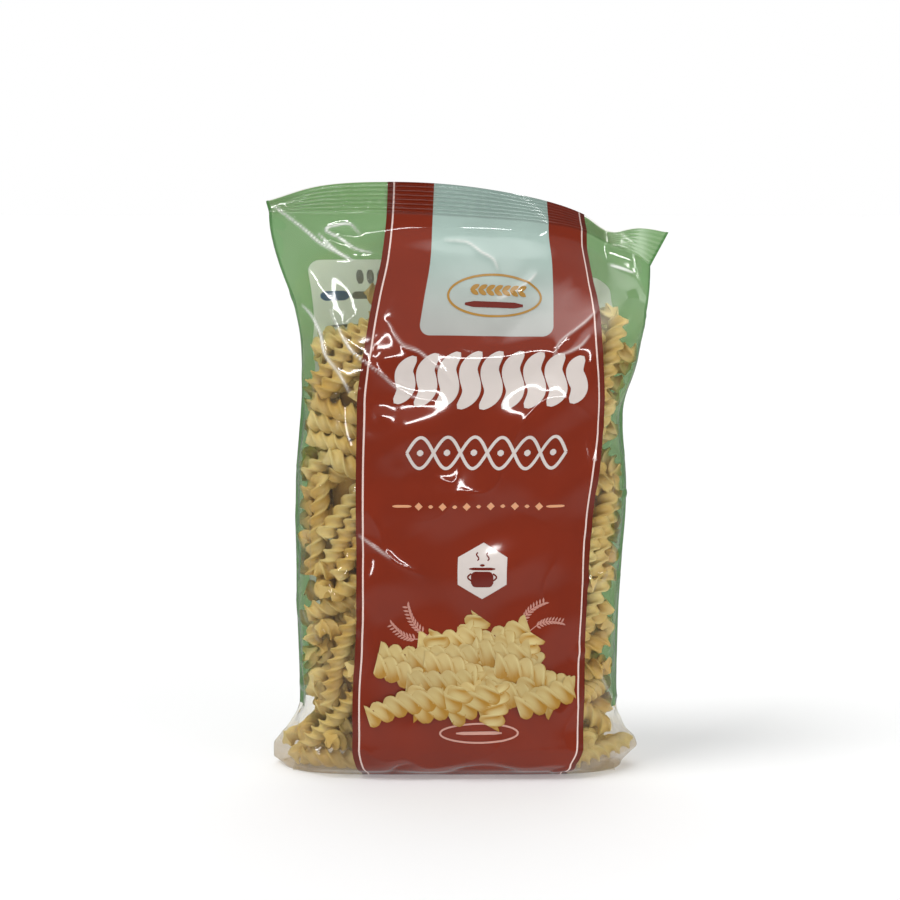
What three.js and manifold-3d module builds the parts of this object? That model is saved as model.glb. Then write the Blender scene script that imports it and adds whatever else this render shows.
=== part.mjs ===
// A 500 g packet of fusilli: a pillow bag of clear printed film, filled, sealed at both ends and standing up.
// The film is shut and full, so the bag is one solid with the outer form of the film.
// Millimetres, +Z up. The printed front faces -Y. The origin is under the middle of the box round the bag.

import * as THREE from "three";
import { ParametricGeometry } from "three/addons/geometries/ParametricGeometry.js";
import { mergeGeometries, mergeVertices } from "three/addons/utils/BufferGeometryUtils.js";
import Module from "manifold-3d";

// Driving sizes
const SEAL_FOOT = 240; // height along the film where the top seal begins
const SEAL_TALL = 13.5; // height of the crimped top seal
const SEAL_RIBS = 7;
const RIB_DEPTH = 0.45;
const SEAL_THICK = 0.9;
const SHOULDER = 178; // above this the film runs in towards the seal
const BELLY = 34.5; // half of the greatest depth, front to back
const BODY_LEFT = -73; // sides of the filled body
const BODY_RIGHT = 66.5;
const LUMP_DEPTH = 1.1; // how far the pasta inside shows as soft bumps
const FIN_WIDE = 12; // the seam down the middle of the back, pressed flat
const FIN_THICK = 1.0;
const FIN_FOOT = 16;
const FIN_TOP = SEAL_FOOT - 6; // higher up it is pressed into the seal
const FIN_SIDE = 3; // how far the seam lies off the middle line
const FIN_SUNK = 1.5; // how far the seam's solid reaches into the bag, so that the two join

// Divisions of the surface, with closer rows up to BASE_TOP
const COLUMNS = 42;
const BASE_TOP = 20;
const BASE_ROWS = 8;
const BODY_ROWS = 26;
const NECK_ROWS = 10;
const UNDERSIDE_ROWS = 6;
const FIN_COLUMNS = 2;
const MERGE_WITHIN = 1e-3;

// The top seal has gone limp: it leans, sinks to the right and turns over at both corners.
// Each station across the film gives the top edge and the foot of the seal there.
const SEAL_STATIONS = [
  { top: [-85.4, -1, 243.6], foot: [-83.4, -13, 240] },
  { top: [-62.2, -9, 250.6], foot: [-61.5, -14, 240] },
  { top: [-34, -9.5, 252.4], foot: [-34, -11, 239.8] },
  { top: [-2, 1, 250.2], foot: [-2.4, -4, 238] },
  { top: [33, 13.5, 243.2], foot: [32.5, 3, 235] },
  { top: [50, 23, 237], foot: [49, 11, 231.4] },
  { top: [62, 29, 229.8], foot: [61, 17, 225.6] },
  { top: [75, 24, 231.8], foot: [72.5, 15, 221] },
  { top: [86.6, 14, 230.2], foot: [78.5, 9, 216] },
];
const EAR_FROM = [0.62, 0.78]; // across this stretch the ribs run out, and the corner beyond is smooth
const RIM_POWER = 10; // how square the band's thin section is at its two ends

// Profiles up the bag, each as [height along the film, value]
const LEFT_EDGE = [
  [0, BODY_LEFT - 7],
  [3, BODY_LEFT - 11.5],
  [8.5, BODY_LEFT - 11.8],
  [13, BODY_LEFT - 8.5],
  [20, BODY_LEFT - 3.3],
  [27, BODY_LEFT],
  [90, BODY_LEFT - 1.5],
  [125, BODY_LEFT - 1],
  [160, BODY_LEFT + 1.8],
  [SHOULDER, BODY_LEFT + 1.6],
  [205, BODY_LEFT + 3],
];
const RIGHT_EDGE = [
  [0, BODY_RIGHT + 0.5],
  [4, BODY_RIGHT + 4],
  [8, BODY_RIGHT + 8],
  [12, BODY_RIGHT + 6.5],
  [16, BODY_RIGHT + 2.5],
  [27, BODY_RIGHT - 1.5],
  [70, BODY_RIGHT - 0.5],
  [120, BODY_RIGHT + 2],
  [153, BODY_RIGHT],
  [SHOULDER, BODY_RIGHT + 7],
  [200, BODY_RIGHT + 9],
];
const HALF_DEPTH = [
  [0, BELLY - 14.5],
  [2.5, BELLY - 9.5],
  [7, BELLY - 5.5],
  [14, BELLY - 2.5],
  [26, BELLY - 0.8],
  [60, BELLY],
  [140, BELLY - 1],
  [178, BELLY - 4],
  [203, BELLY - 13],
  [224, BELLY - 25],
  [236, BELLY - 33.4],
  [SEAL_FOOT, SEAL_THICK / 2],
];
// How full the outline of a level section is: 0.5 is round at the sides, 1 and over is drawn to a thin edge.
const SIDE_EDGE = [
  [0, 0.5],
  [3, 0.9],
  [8, 1.15],
  [14, 0.95],
  [28, 0.5],
  [SHOULDER, 0.5],
  [215, 0.62],
  [SEAL_FOOT, 1],
];
const SQUARENESS = [
  [0, 5],
  [8, 6],
  [28, 4],
  [SHOULDER, 3.6],
  [215, 2.6],
  [SEAL_FOOT, 2],
];
// Creases that run from the seal's corners into the bag, as lines across the flat film:
// side is -1 on the front and 1 on the back, and each end is [share of the half width, height].
const CREASES = [
  { side: -1, from: [-0.97, 238], to: [-0.55, 196], depth: 1.6 },
  { side: -1, from: [0.93, 232], to: [0.6, 190], depth: 1.4 },
  { side: 1, from: [-0.95, 236], to: [-0.5, 192], depth: 1.5 },
  { side: 1, from: [0.9, 234], to: [0.45, 196], depth: 1.8 },
  { side: -1, from: [-0.92, 10], to: [-0.6, 34], depth: 1.3 },
  { side: -1, from: [0.92, 12], to: [0.62, 36], depth: 1.3 },
];
const CREASE_WIDE = 5;
// Slow waves across the flat film that make the bumps: wavelength along and up, and phase.
const LUMP_WAVES = [
  { along: 33, up: 92, phase: 0.4 },
  { along: -170, up: 31, phase: 2.1 },
  { along: -42, up: 48, phase: 4.4 },
];
const BACK_SHIFT = 41; // moves the pattern along on the back web
const HALF_FLAT = 93; // half the width of the film tube laid flat

// A smooth line through keyed values, flat beyond both ends.
function keyed(keys, at) {
  if (at <= keys[0][0]) return keys[0][1];
  const last = keys.length - 1;
  if (at >= keys[last][0]) return keys[last][1];
  const i = keys.findIndex(([k]) => k > at) - 1;
  const slope = (n) => {
    if (n <= 0 || n >= last) return 0;
    const before = (keys[n][1] - keys[n - 1][1]) / (keys[n][0] - keys[n - 1][0]);
    const after = (keys[n + 1][1] - keys[n][1]) / (keys[n + 1][0] - keys[n][0]);
    return before * after > 0 ? (2 * before * after) / (before + after) : 0;
  };
  const span = keys[i + 1][0] - keys[i][0];
  const t = (at - keys[i][0]) / span;
  const rise = t * t * (3 - 2 * t);
  const lead = span * (t * (1 - t) * (1 - t) * slope(i) - t * t * (1 - t) * slope(i + 1));
  return keys[i][1] + (keys[i + 1][1] - keys[i][1]) * rise + lead;
}

function smoothStep(from, to, at) {
  const t = Math.min(1, Math.max(0, (at - from) / (to - from)));
  return t * t * (3 - 2 * t);
}

// Points of the seal across the film, from -1 at its left end to 1 at its right.
function sealCurve(edge) {
  return new THREE.CatmullRomCurve3(SEAL_STATIONS.map((s) => new THREE.Vector3(...s[edge])));
}
const topCurve = sealCurve("top");
const footCurve = sealCurve("foot");
const sealPoint = (curve, across) => curve.getPoint((across + 1) / 2);

// The crimped band: a thin wave between the foot of the seal and its top edge.
function sealBand(side, across, height) {
  const foot = sealPoint(footCurve, across);
  const top = sealPoint(topCurve, across);
  const t = (height - SEAL_FOOT) / SEAL_TALL;
  const along = footCurve.getTangent((across + 1) / 2);
  const outward = new THREE.Vector3().crossVectors(along, top.clone().sub(foot)).normalize();
  const ribbed = 1 - smoothStep(...EAR_FROM, across);
  const wave = RIB_DEPTH * ribbed * Math.cos(t * SEAL_RIBS * 2 * Math.PI);
  const half = (SEAL_THICK / 2) * Math.sqrt(Math.max(0, 1 - Math.abs(across) ** RIM_POWER));
  return foot.lerp(top, t).addScaledVector(outward, wave - side * half);
}

// Soft bumps over the pasta, fading out towards the base and the empty top.
function lumps(side, across, height) {
  const u = across * HALF_FLAT + (side > 0 ? BACK_SHIFT : 0);
  const sum = LUMP_WAVES.reduce(
    (total, { along, up, phase }) => total + Math.sin(2 * Math.PI * (u / along + height / up) + phase),
    0,
  );
  const aboveBase = smoothStep(BASE_TOP * 0.6, BASE_TOP * 1.5, height);
  const belowTop = 1 - smoothStep(SHOULDER, SHOULDER + BASE_TOP * 1.5, height);
  return (LUMP_DEPTH * sum * aboveBase * belowTop) / 2;
}

function creases(side, across, height) {
  return CREASES.filter((c) => c.side === side).reduce((sum, { from, to, depth }) => {
    const a = new THREE.Vector2(from[0] * HALF_FLAT, from[1]);
    const run = new THREE.Vector2(to[0] * HALF_FLAT, to[1]).sub(a);
    const p = new THREE.Vector2(across * HALF_FLAT, height).sub(a);
    const t = Math.min(1, Math.max(0, p.dot(run) / run.lengthSq()));
    const off = p.addScaledVector(run, -t).length() / CREASE_WIDE;
    return sum - depth * Math.exp(-off * off) * Math.sin(Math.PI * (0.1 + 0.9 * t)) ** 0.5;
  }, 0);
}

// A point of the bag. side is -1 on the front web and 1 on the back, across runs from -1 to 1.
function bagPoint(side, across, height) {
  if (height > SEAL_FOOT) return sealBand(side, across, height);
  const left = keyed(LEFT_EDGE, height);
  const right = keyed(RIGHT_EDGE, height);
  const turn = (across * Math.PI) / 2;
  const share = Math.sin(turn);
  const fold = keyed(SIDE_EDGE, height);
  const square = keyed(SQUARENESS, height);
  const depth = keyed(HALF_DEPTH, height) * Math.max(0, 1 - Math.abs(share) ** square) ** fold;
  const relief = (lumps(side, across, height) + creases(side, across, height)) * Math.cos(turn) ** 0.5;
  const body = new THREE.Vector3(
    (left + right) / 2 + ((right - left) / 2 + relief) * share,
    side * (depth + relief * Math.cos(turn)),
    height,
  );
  const gathered = smoothStep(SHOULDER, SEAL_FOOT, height);
  const foot = sealPoint(footCurve, across);
  return new THREE.Vector3(
    THREE.MathUtils.lerp(body.x, foot.x, gathered),
    body.y + foot.y * gathered,
    height + (foot.z - SEAL_FOOT) * gathered,
  );
}

// Heights of the rows of faces, closer together where the form turns quickly.
function rowHeights() {
  const stretches = [
    [0, BASE_TOP, BASE_ROWS],
    [BASE_TOP, SHOULDER, BODY_ROWS],
    [SHOULDER, SEAL_FOOT, NECK_ROWS],
    [SEAL_FOOT, SEAL_FOOT + SEAL_TALL, SEAL_RIBS * 2],
  ];
  const heights = stretches.flatMap(([from, to, count]) =>
    Array.from({ length: count }, (_, i) => from + ((to - from) * i) / count),
  );
  return [...heights, SEAL_FOOT + SEAL_TALL];
}

// A sheet of faces over a rule for its points, turned round where it would face inwards.
function sheet(pointAt, columns, rows, turned) {
  const place = (u, v, target) => target.copy(pointAt(turned ? 1 - u : u, v));
  return new ParametricGeometry(place, columns, rows);
}

// Joins sheets into one closed mesh: shared points are merged, and faces that have closed up are dropped.
function closedMesh(sheets) {
  const joined = mergeGeometries(sheets);
  joined.deleteAttribute("normal");
  joined.deleteAttribute("uv");
  const merged = mergeVertices(joined, MERGE_WITHIN);
  const corners = merged.index.array;
  const kept = [];
  for (let i = 0; i < corners.length; i += 3) {
    const [a, b, c] = corners.slice(i, i + 3);
    if (a !== b && b !== c && c !== a) kept.push(a, b, c);
  }
  merged.setIndex(kept);
  return merged;
}

function bagMesh() {
  const heights = rowHeights();
  const rows = heights.length - 1;
  const top = heights[rows];
  const web = (side) => (u, v) => bagPoint(side, 2 * u - 1, heights[Math.round(v * rows)]);
  const edgeStrip = (u, v) => bagPoint(-1, 2 * u - 1, top).lerp(bagPoint(1, 2 * u - 1, top), v);
  const underside = (u, v) => bagPoint(-1, 2 * u - 1, 0).lerp(bagPoint(1, 2 * u - 1, 0), v);
  return closedMesh([
    sheet(web(-1), COLUMNS, rows, false),
    sheet(web(1), COLUMNS, rows, true),
    sheet(edgeStrip, COLUMNS, 1, false),
    sheet(underside, COLUMNS, UNDERSIDE_ROWS, true),
  ]);
}

// The seam where the film's two edges meet, laid flat down the back: a strip that follows the back web.
function finMesh() {
  const heights = rowHeights().filter((height) => height >= FIN_FOOT && height <= FIN_TOP);
  const rows = heights.length - 1;
  const finPoint = (across, row, raised) => {
    const height = heights[row];
    const at = (FIN_SIDE - (across * FIN_WIDE) / 2) / HALF_FLAT;
    const here = bagPoint(1, at, height);
    const beside = bagPoint(1, at + 0.01, height).sub(here);
    const above = bagPoint(1, at, height + 0.5).sub(here);
    const outward = above.cross(beside).normalize();
    return here.addScaledVector(outward, raised ? FIN_THICK : -FIN_SUNK);
  };
  const face = (raised) => (u, v) => finPoint(2 * u - 1, Math.round(v * rows), raised);
  const side = (across) => (u, v) => finPoint(across, Math.round(v * rows), u > 0.5);
  const end = (row) => (u, v) => finPoint(2 * u - 1, row, v > 0.5);
  return closedMesh([
    sheet(face(true), FIN_COLUMNS, rows, false),
    sheet(face(false), FIN_COLUMNS, rows, true),
    sheet(side(-1), 1, rows, false),
    sheet(side(1), 1, rows, true),
    sheet(end(0), FIN_COLUMNS, 1, false),
    sheet(end(rows), FIN_COLUMNS, 1, true),
  ]);
}

const wasm = await Module();
wasm.setup();

function solidOf(geometry) {
  const mesh = new wasm.Mesh({
    numProp: 3,
    vertProperties: geometry.attributes.position.array,
    triVerts: new Uint32Array(geometry.index.array),
  });
  return new wasm.Manifold(mesh);
}

function geometryOf(solid) {
  const { vertProperties, triVerts } = solid.getMesh();
  const made = new THREE.BufferGeometry();
  made.setAttribute("position", new THREE.BufferAttribute(vertProperties, 3));
  made.setIndex(new THREE.BufferAttribute(triVerts, 1));
  made.computeVertexNormals();
  return made;
}

function packet() {
  const bag = solidOf(bagMesh());
  const fin = solidOf(finMesh());
  const geometry = geometryOf(bag.add(fin));
  geometry.computeBoundingBox();
  const middle = geometry.boundingBox.getCenter(new THREE.Vector3());
  const printedFilm = new THREE.MeshStandardMaterial({ color: 0x9c3a26, roughness: 0.22, metalness: 0 });
  const mesh = new THREE.Mesh(geometry, printedFilm);
  mesh.name = "film_bag";
  mesh.position.set(-middle.x, -middle.y, -geometry.boundingBox.min.z);
  return mesh;
}

const group = new THREE.Group();
group.add(packet());

export default group;
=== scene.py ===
import math

import bpy
import numpy as np
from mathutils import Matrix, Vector
from mathutils.bvhtree import BVHTree
from mathutils.kdtree import KDTree


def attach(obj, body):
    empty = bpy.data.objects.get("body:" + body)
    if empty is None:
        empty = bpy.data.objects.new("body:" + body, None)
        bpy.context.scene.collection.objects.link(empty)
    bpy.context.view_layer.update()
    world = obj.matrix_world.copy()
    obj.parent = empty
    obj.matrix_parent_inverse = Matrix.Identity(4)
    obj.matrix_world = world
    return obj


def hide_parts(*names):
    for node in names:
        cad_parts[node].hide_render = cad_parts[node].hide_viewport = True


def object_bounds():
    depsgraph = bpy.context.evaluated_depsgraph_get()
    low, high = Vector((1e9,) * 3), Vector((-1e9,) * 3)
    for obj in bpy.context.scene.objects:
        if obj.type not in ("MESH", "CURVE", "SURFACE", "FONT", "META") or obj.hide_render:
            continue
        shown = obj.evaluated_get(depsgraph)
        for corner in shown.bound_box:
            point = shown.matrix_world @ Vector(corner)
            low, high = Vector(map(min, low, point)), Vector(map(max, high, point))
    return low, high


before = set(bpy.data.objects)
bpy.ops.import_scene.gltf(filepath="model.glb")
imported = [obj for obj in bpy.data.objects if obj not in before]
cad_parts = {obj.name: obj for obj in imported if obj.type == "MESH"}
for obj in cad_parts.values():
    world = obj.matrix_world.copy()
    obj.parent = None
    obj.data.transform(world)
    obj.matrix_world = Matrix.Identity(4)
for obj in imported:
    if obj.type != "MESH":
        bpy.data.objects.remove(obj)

# A 500 g packet of fusilli: a pillow bag of clear film with a printed front and a green printed back.
# The film's rule is worked out in millimetres, in the CAD part's own way, and is moved onto the solid.

cadLow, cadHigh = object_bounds()
scene = bpy.context.scene
mm = 0.001


def smoothStep(low, high, at):
    t = np.clip((at - low) / (high - low), 0, 1)
    return t * t * (3 - 2 * t)


def linear(hexColour, alpha=1.0):
    parts = [int(hexColour[i:i + 2], 16) / 255 for i in (0, 2, 4)]
    return tuple(p / 12.92 if p <= 0.04045 else ((p + 0.055) / 1.055) ** 2.4 for p in parts) + (alpha,)


def addNode(tree, kind, sockets=None, **settings):
    # a socket gets a value, another node's socket, or a node, which stands for its first one
    made = tree.nodes.new(kind)
    for name, value in settings.items():
        setattr(made, name, value)
    for key, value in (sockets or {}).items():
        if isinstance(value, bpy.types.Node):
            value = value.outputs[0]
        if isinstance(value, bpy.types.NodeSocket):
            tree.links.new(value, made.inputs[key])
        else:
            made.inputs[key].default_value = value
    return made


def newMaterial(name):
    made = bpy.data.materials.new(name)
    made.use_nodes = True
    made.node_tree.nodes.clear()
    return made, made.node_tree


def meshPiece(name, vertices, faces, smooth=True):
    # vertices in millimetres in the scene's frame
    mesh = bpy.data.meshes.new(name)
    mesh.from_pydata((np.asarray(vertices) * mm).tolist(), [],
                     faces.tolist() if isinstance(faces, np.ndarray) else faces)
    if smooth:
        mesh.polygons.foreach_set("use_smooth", np.ones(len(mesh.polygons), bool))
    piece = bpy.data.objects.new(name, mesh)
    scene.collection.objects.link(piece)
    return piece


def vertexValues(piece, name):
    values = np.zeros(len(piece.data.vertices) * 3)
    piece.data.vertices.foreach_get(name, values)
    return values.reshape(-1, 3)


def giveValues(piece, values):
    # numbers for the vertices, which the materials read under their names
    for name, value in values.items():
        layer = piece.data.attributes.new(name, "FLOAT", "POINT")
        layer.data.foreach_set("value", np.zeros(len(layer.data)) + value)


# Camera: the photograph's place, with its picture taken as 900 by 900

camera = {"place": (-0.00816, -0.9903, 0.2770), "tilt": 82.0, "lens": 93.2}
view = bpy.data.objects.new("camera", bpy.data.cameras.new("camera"))
view.location = camera["place"]
view.rotation_euler = (math.radians(camera["tilt"]), 0, 0)
view.data.lens = camera["lens"]
view.data.sensor_width = 36
scene.collection.objects.link(view)
scene.camera = view

# The bag's rule: what a user would change to give the bag another form

bag = {
    "sealFoot": 240.0, "sealTall": 13.5, "sealRibs": 7, "ribDepth": 0.45, "sealThick": 0.9,
    "shoulder": 178.0, "belly": 34.5, "left": -73.0, "right": 66.5,
    "lumpDepth": 1.1, "baseTop": 20.0, "creaseWide": 5.0, "halfFlat": 93.0, "backShift": 41.0,
    "ribsRunOut": (0.62, 0.78), "rimPower": 10,
}
belly, leftSide, rightSide, shoulder = bag["belly"], bag["left"], bag["right"], bag["shoulder"]
sealFoot, sealTop = bag["sealFoot"], bag["sealFoot"] + bag["sealTall"]

# the seal's top edge and foot, from the left corner to the right
sealTopLine = [(-85.4, -1, 243.6), (-62.2, -9, 250.6), (-34, -9.5, 252.4), (-2, 1, 250.2), (33, 13.5, 243.2),
               (50, 23, 237), (62, 29, 229.8), (75, 24, 231.8), (86.6, 14, 230.2)]
sealFootLine = [(-83.4, -13, 240), (-61.5, -14, 240), (-34, -11, 239.8), (-2.4, -4, 238), (32.5, 3, 235),
                (49, 11, 231.4), (61, 17, 225.6), (72.5, 15, 221), (78.5, 9, 216)]
leftEdge = [(0, leftSide - 7), (3, leftSide - 11.5), (8.5, leftSide - 11.8), (13, leftSide - 8.5),
            (20, leftSide - 3.3), (27, leftSide), (90, leftSide - 1.5), (125, leftSide - 1),
            (160, leftSide + 1.8), (shoulder, leftSide + 1.6), (205, leftSide + 3)]
rightEdge = [(0, rightSide + 0.5), (4, rightSide + 4), (8, rightSide + 8), (12, rightSide + 6.5),
             (16, rightSide + 2.5), (27, rightSide - 1.5), (70, rightSide - 0.5), (120, rightSide + 2),
             (153, rightSide), (shoulder, rightSide + 7), (200, rightSide + 9)]
halfDepth = [(0, belly - 14.5), (2.5, belly - 9.5), (7, belly - 5.5), (14, belly - 2.5), (26, belly - 0.8),
             (60, belly), (140, belly - 1), (178, belly - 4), (203, belly - 13), (224, belly - 25),
             (236, belly - 33.4), (sealFoot, bag["sealThick"] / 2)]
sideEdge = [(0, 0.5), (3, 0.9), (8, 1.15), (14, 0.95), (28, 0.5), (shoulder, 0.5), (215, 0.62), (sealFoot, 1)]
squareness = [(0, 5), (8, 6), (28, 4), (shoulder, 3.6), (215, 2.6), (sealFoot, 2)]
foldCreases = [(-1, (-0.97, 238), (-0.55, 196), 1.6), (-1, (0.93, 232), (0.6, 190), 1.4),
               (1, (-0.95, 236), (-0.5, 192), 1.5), (1, (0.9, 234), (0.45, 196), 1.8),
               (-1, (-0.92, 10), (-0.6, 34), 1.3), (-1, (0.92, 12), (0.62, 36), 1.3)]
lumpWaves = [(33, 92, 0.4), (-170, 31, 2.1), (-42, 48, 4.4)]


def keyed(keys, at):
    # a smooth line through keyed values, flat beyond both ends
    k, v = np.array(keys, float).T
    step = np.diff(v) / np.diff(k)
    both = step[:-1] * step[1:]
    slope = np.zeros(len(k))
    total = np.where(both > 0, step[:-1] + step[1:], 1)
    slope[1:-1] = np.where(both > 0, 2 * both / total, 0)
    at = np.clip(at, k[0], k[-1])
    i = np.clip(np.searchsorted(k, at, side="right") - 1, 0, len(k) - 2)
    span = k[i + 1] - k[i]
    t = (at - k[i]) / span
    lead = span * (t * (1 - t) ** 2 * slope[i] - t * t * (1 - t) * slope[i + 1])
    return v[i] + (v[i + 1] - v[i]) * t * t * (3 - 2 * t) + lead


def throughPoints(points, share):
    # a centripetal curve through the points, share from 0 to 1
    p = np.array(points, float)
    last = len(p) - 1
    p = np.concatenate([[2 * p[0] - p[1]], p, [2 * p[-1] - p[-2]]])
    at = np.clip(share, 0, 1) * last
    i = np.minimum(np.floor(at).astype(int), last - 1)
    w = (at - i)[..., None]
    a, b, c, d = (p[i + n] for n in range(4))
    gap = [np.linalg.norm(m - n, axis=-1, keepdims=True) ** 0.5 for m, n in ((a, b), (b, c), (c, d))]
    leave = ((b - a) / gap[0] - (c - a) / (gap[0] + gap[1]) + (c - b) / gap[1]) * gap[1]
    reach = ((c - b) / gap[1] - (d - b) / (gap[1] + gap[2]) + (d - c) / gap[2]) * gap[1]
    swing = 2 * b - 2 * c + leave + reach
    return b + leave * w + (-3 * b + 3 * c - 2 * leave - reach) * w**2 + swing * w**3


def sealBand(side, across, height):
    share = (across + 1) / 2
    foot, top = throughPoints(sealFootLine, share), throughPoints(sealTopLine, share)
    along = throughPoints(sealFootLine, share + 0.004) - throughPoints(sealFootLine, share - 0.004)
    outward = np.cross(along, top - foot)
    outward /= np.linalg.norm(outward, axis=-1, keepdims=True)
    t = (height - sealFoot) / bag["sealTall"]
    ribbed = 1 - smoothStep(*bag["ribsRunOut"], across)
    wave = bag["ribDepth"] * ribbed * np.cos(t * bag["sealRibs"] * 2 * np.pi)
    half = bag["sealThick"] / 2 * np.sqrt(np.maximum(0, 1 - np.abs(across) ** bag["rimPower"]))
    return foot + (top - foot) * t[..., None] + outward * (wave - side * half)[..., None]


def relief(side, across, height):
    u = across * bag["halfFlat"] + (bag["backShift"] if side > 0 else 0)
    bumps = sum(np.sin(2 * np.pi * (u / along + height / up) + phase) for along, up, phase in lumpWaves)
    aboveBase = smoothStep(bag["baseTop"] * 0.6, bag["baseTop"] * 1.5, height)
    belowTop = 1 - smoothStep(shoulder, shoulder + bag["baseTop"] * 1.5, height)
    total = bag["lumpDepth"] * bumps * aboveBase * belowTop / 2
    p = np.stack([across * bag["halfFlat"], height], -1)
    for creaseSide, start, end, depth in foldCreases:
        if creaseSide != side:
            continue
        a = np.array([start[0] * bag["halfFlat"], start[1]])
        run = np.array([end[0] * bag["halfFlat"], end[1]]) - a
        t = np.clip((p - a) @ run / (run @ run), 0, 1)
        off = np.linalg.norm(p - a - t[..., None] * run, axis=-1) / bag["creaseWide"]
        total = total - depth * np.exp(-off * off) * np.sin(np.pi * (0.1 + 0.9 * t)) ** 0.5
    return total * np.maximum(np.cos(across * np.pi / 2), 0) ** 0.5


def bagPoint(side, across, height):
    # side is -1 on the front web and 1 on the back, across runs from -1 to 1
    left, right = keyed(leftEdge, height), keyed(rightEdge, height)
    turn = across * np.pi / 2
    share = np.sin(turn)
    room = np.maximum(0, 1 - np.abs(share) ** keyed(squareness, height))
    depth = keyed(halfDepth, height) * room ** keyed(sideEdge, height)
    lift = relief(side, across, height)
    gathered = smoothStep(shoulder, sealFoot, height)
    foot = throughPoints(sealFootLine, (across + 1) / 2)
    x = (left + right) / 2 + ((right - left) / 2 + lift) * share
    y = side * (depth + lift * np.cos(turn))
    body = np.stack([x + (foot[..., 0] - x) * gathered, y + foot[..., 1] * gathered,
                     height + (foot[..., 2] - sealFoot) * gathered], -1)
    return np.where((height > sealFoot)[..., None], sealBand(side, across, height), body)


# The film's grid: columns run round the bag and follow the edges of the print, rows run up it

printArea = {
    "half": 51.75, "greenFoot": 27.0,
    # how far the green wraps round the sides, and where the panel's two edges stand, by height
    "greenWrap": [(0, 10), (120, 9), (175, 7.5), (195, 4), (215, 1.5), (253, 1.5)],
    "leftLine": [(0, -45), (4, -47.2), (14, -49.2), (39, -49), (56, -47.9), (72, -47.2), (116, -47.2),
                 (160, -46.6), (187, -43), (206, -39.5), (222, -36), (240, -34), (253.5, -33.6)],
    "rightLine": [(0, 42.5), (5, 46), (14, 49.5), (56, 50.3), (90, 51.5), (116, 53.4), (133, 55.4),
                  (150, 57.2), (162, 57.8), (187, 56.6), (206, 55.6), (222, 53.6), (240, 51.2),
                  (253.5, 50.6)],
}
grid = {
    "coarse": {"strip": 14, "panel": 44, "back": 68, "base": 2.4, "body": 2.8, "seal": 8},
    "fine": {"strip": 28, "panel": 88, "back": 136, "base": 0.8, "body": 1.35, "seal": 42},
    "baseTo": 16.0, "samples": 240,
}
print("bag: rule ready")


def evenly(marks, counts):
    # places between each mark and the next, the last mark left out
    return np.concatenate([np.linspace(low, high, count, endpoint=False)
                           for low, high, count in zip(marks, marks[1:], counts)])


def rowHeights(step):
    marks = (0, grid["baseTo"], sealFoot)
    counts = [max(2, round((high - low) / size))
              for low, high, size in zip(marks, marks[1:], (step["base"], step["body"]))]
    return np.concatenate([evenly(marks, counts), np.linspace(sealFoot, sealTop, step["seal"] + 1)])


def filmGrid(step):
    heights = rowHeights(step)
    count = grid["samples"]
    across = np.linspace(-1, 1, count + 1)
    a, h = np.meshgrid(across, heights)
    dense = np.concatenate([bagPoint(-1, a, h), bagPoint(1, -a, h)[:, 1:]], 1)
    arc = np.concatenate([np.zeros((len(heights), 1)), np.cumsum(
        np.linalg.norm(np.diff(dense, axis=1), axis=-1), 1)], 1)
    apart = np.abs(bagPoint(1, a, h)[..., 1] - bagPoint(-1, a, h)[..., 1]) / 2
    apart = np.concatenate([apart, apart[:, -2::-1]], 1)
    leftLine, rightLine, wrap = (
        keyed(printArea[name], heights) for name in ("leftLine", "rightLine", "greenWrap"))
    widths = [step["strip"], step["panel"], step["strip"], step["back"]]
    points, lengths, depths = [], [], []
    for row in range(len(heights)):
        front, whole = arc[row, count], arc[row, -1]
        panelLeft, panelRight = (np.interp(line[row], dense[row, :count + 1, 0], arc[row, :count + 1])
                                 for line in (leftLine, rightLine))
        marks = [wrap[row], panelLeft, panelRight, front - wrap[row], whole + wrap[row]]
        inside = evenly(marks, widths) % whole
        points.append(np.stack([np.interp(inside, arc[row], dense[row, :, n]) for n in range(3)], -1))
        depths.append(np.interp(inside, arc[row], apart[row]))
        lengths.append((front, whole))
    return {"heights": heights, "points": np.array(points), "lengths": np.array(lengths),
            "depth": np.array(depths), "step": step}


def outwardOf(points):
    across = np.roll(points, -1, 1) - np.roll(points, 1, 1)
    up = np.gradient(points, axis=0)
    normal = np.cross(across, up)
    return normal / np.maximum(np.linalg.norm(normal, axis=-1, keepdims=True), 1e-9)


# The rule's low corner is laid on the solid's, which gives the move from rule to scene
fineGrid = filmGrid(grid["fine"])
ruleLow = fineGrid["points"].reshape(-1, 3).min(0)
shift = np.array(cadLow) / mm - ruleLow
fineGrid["points"] += shift
coarseGrid = filmGrid(grid["coarse"])
coarseGrid["points"] += shift
print("film: grids of", coarseGrid["points"].shape[:2], "and", fineGrid["points"].shape[:2])
print("film: rule moved by", shift.round(3))


# Pasta: capsules settle inside the bag, then each one's middle line becomes a fusillo

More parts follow.
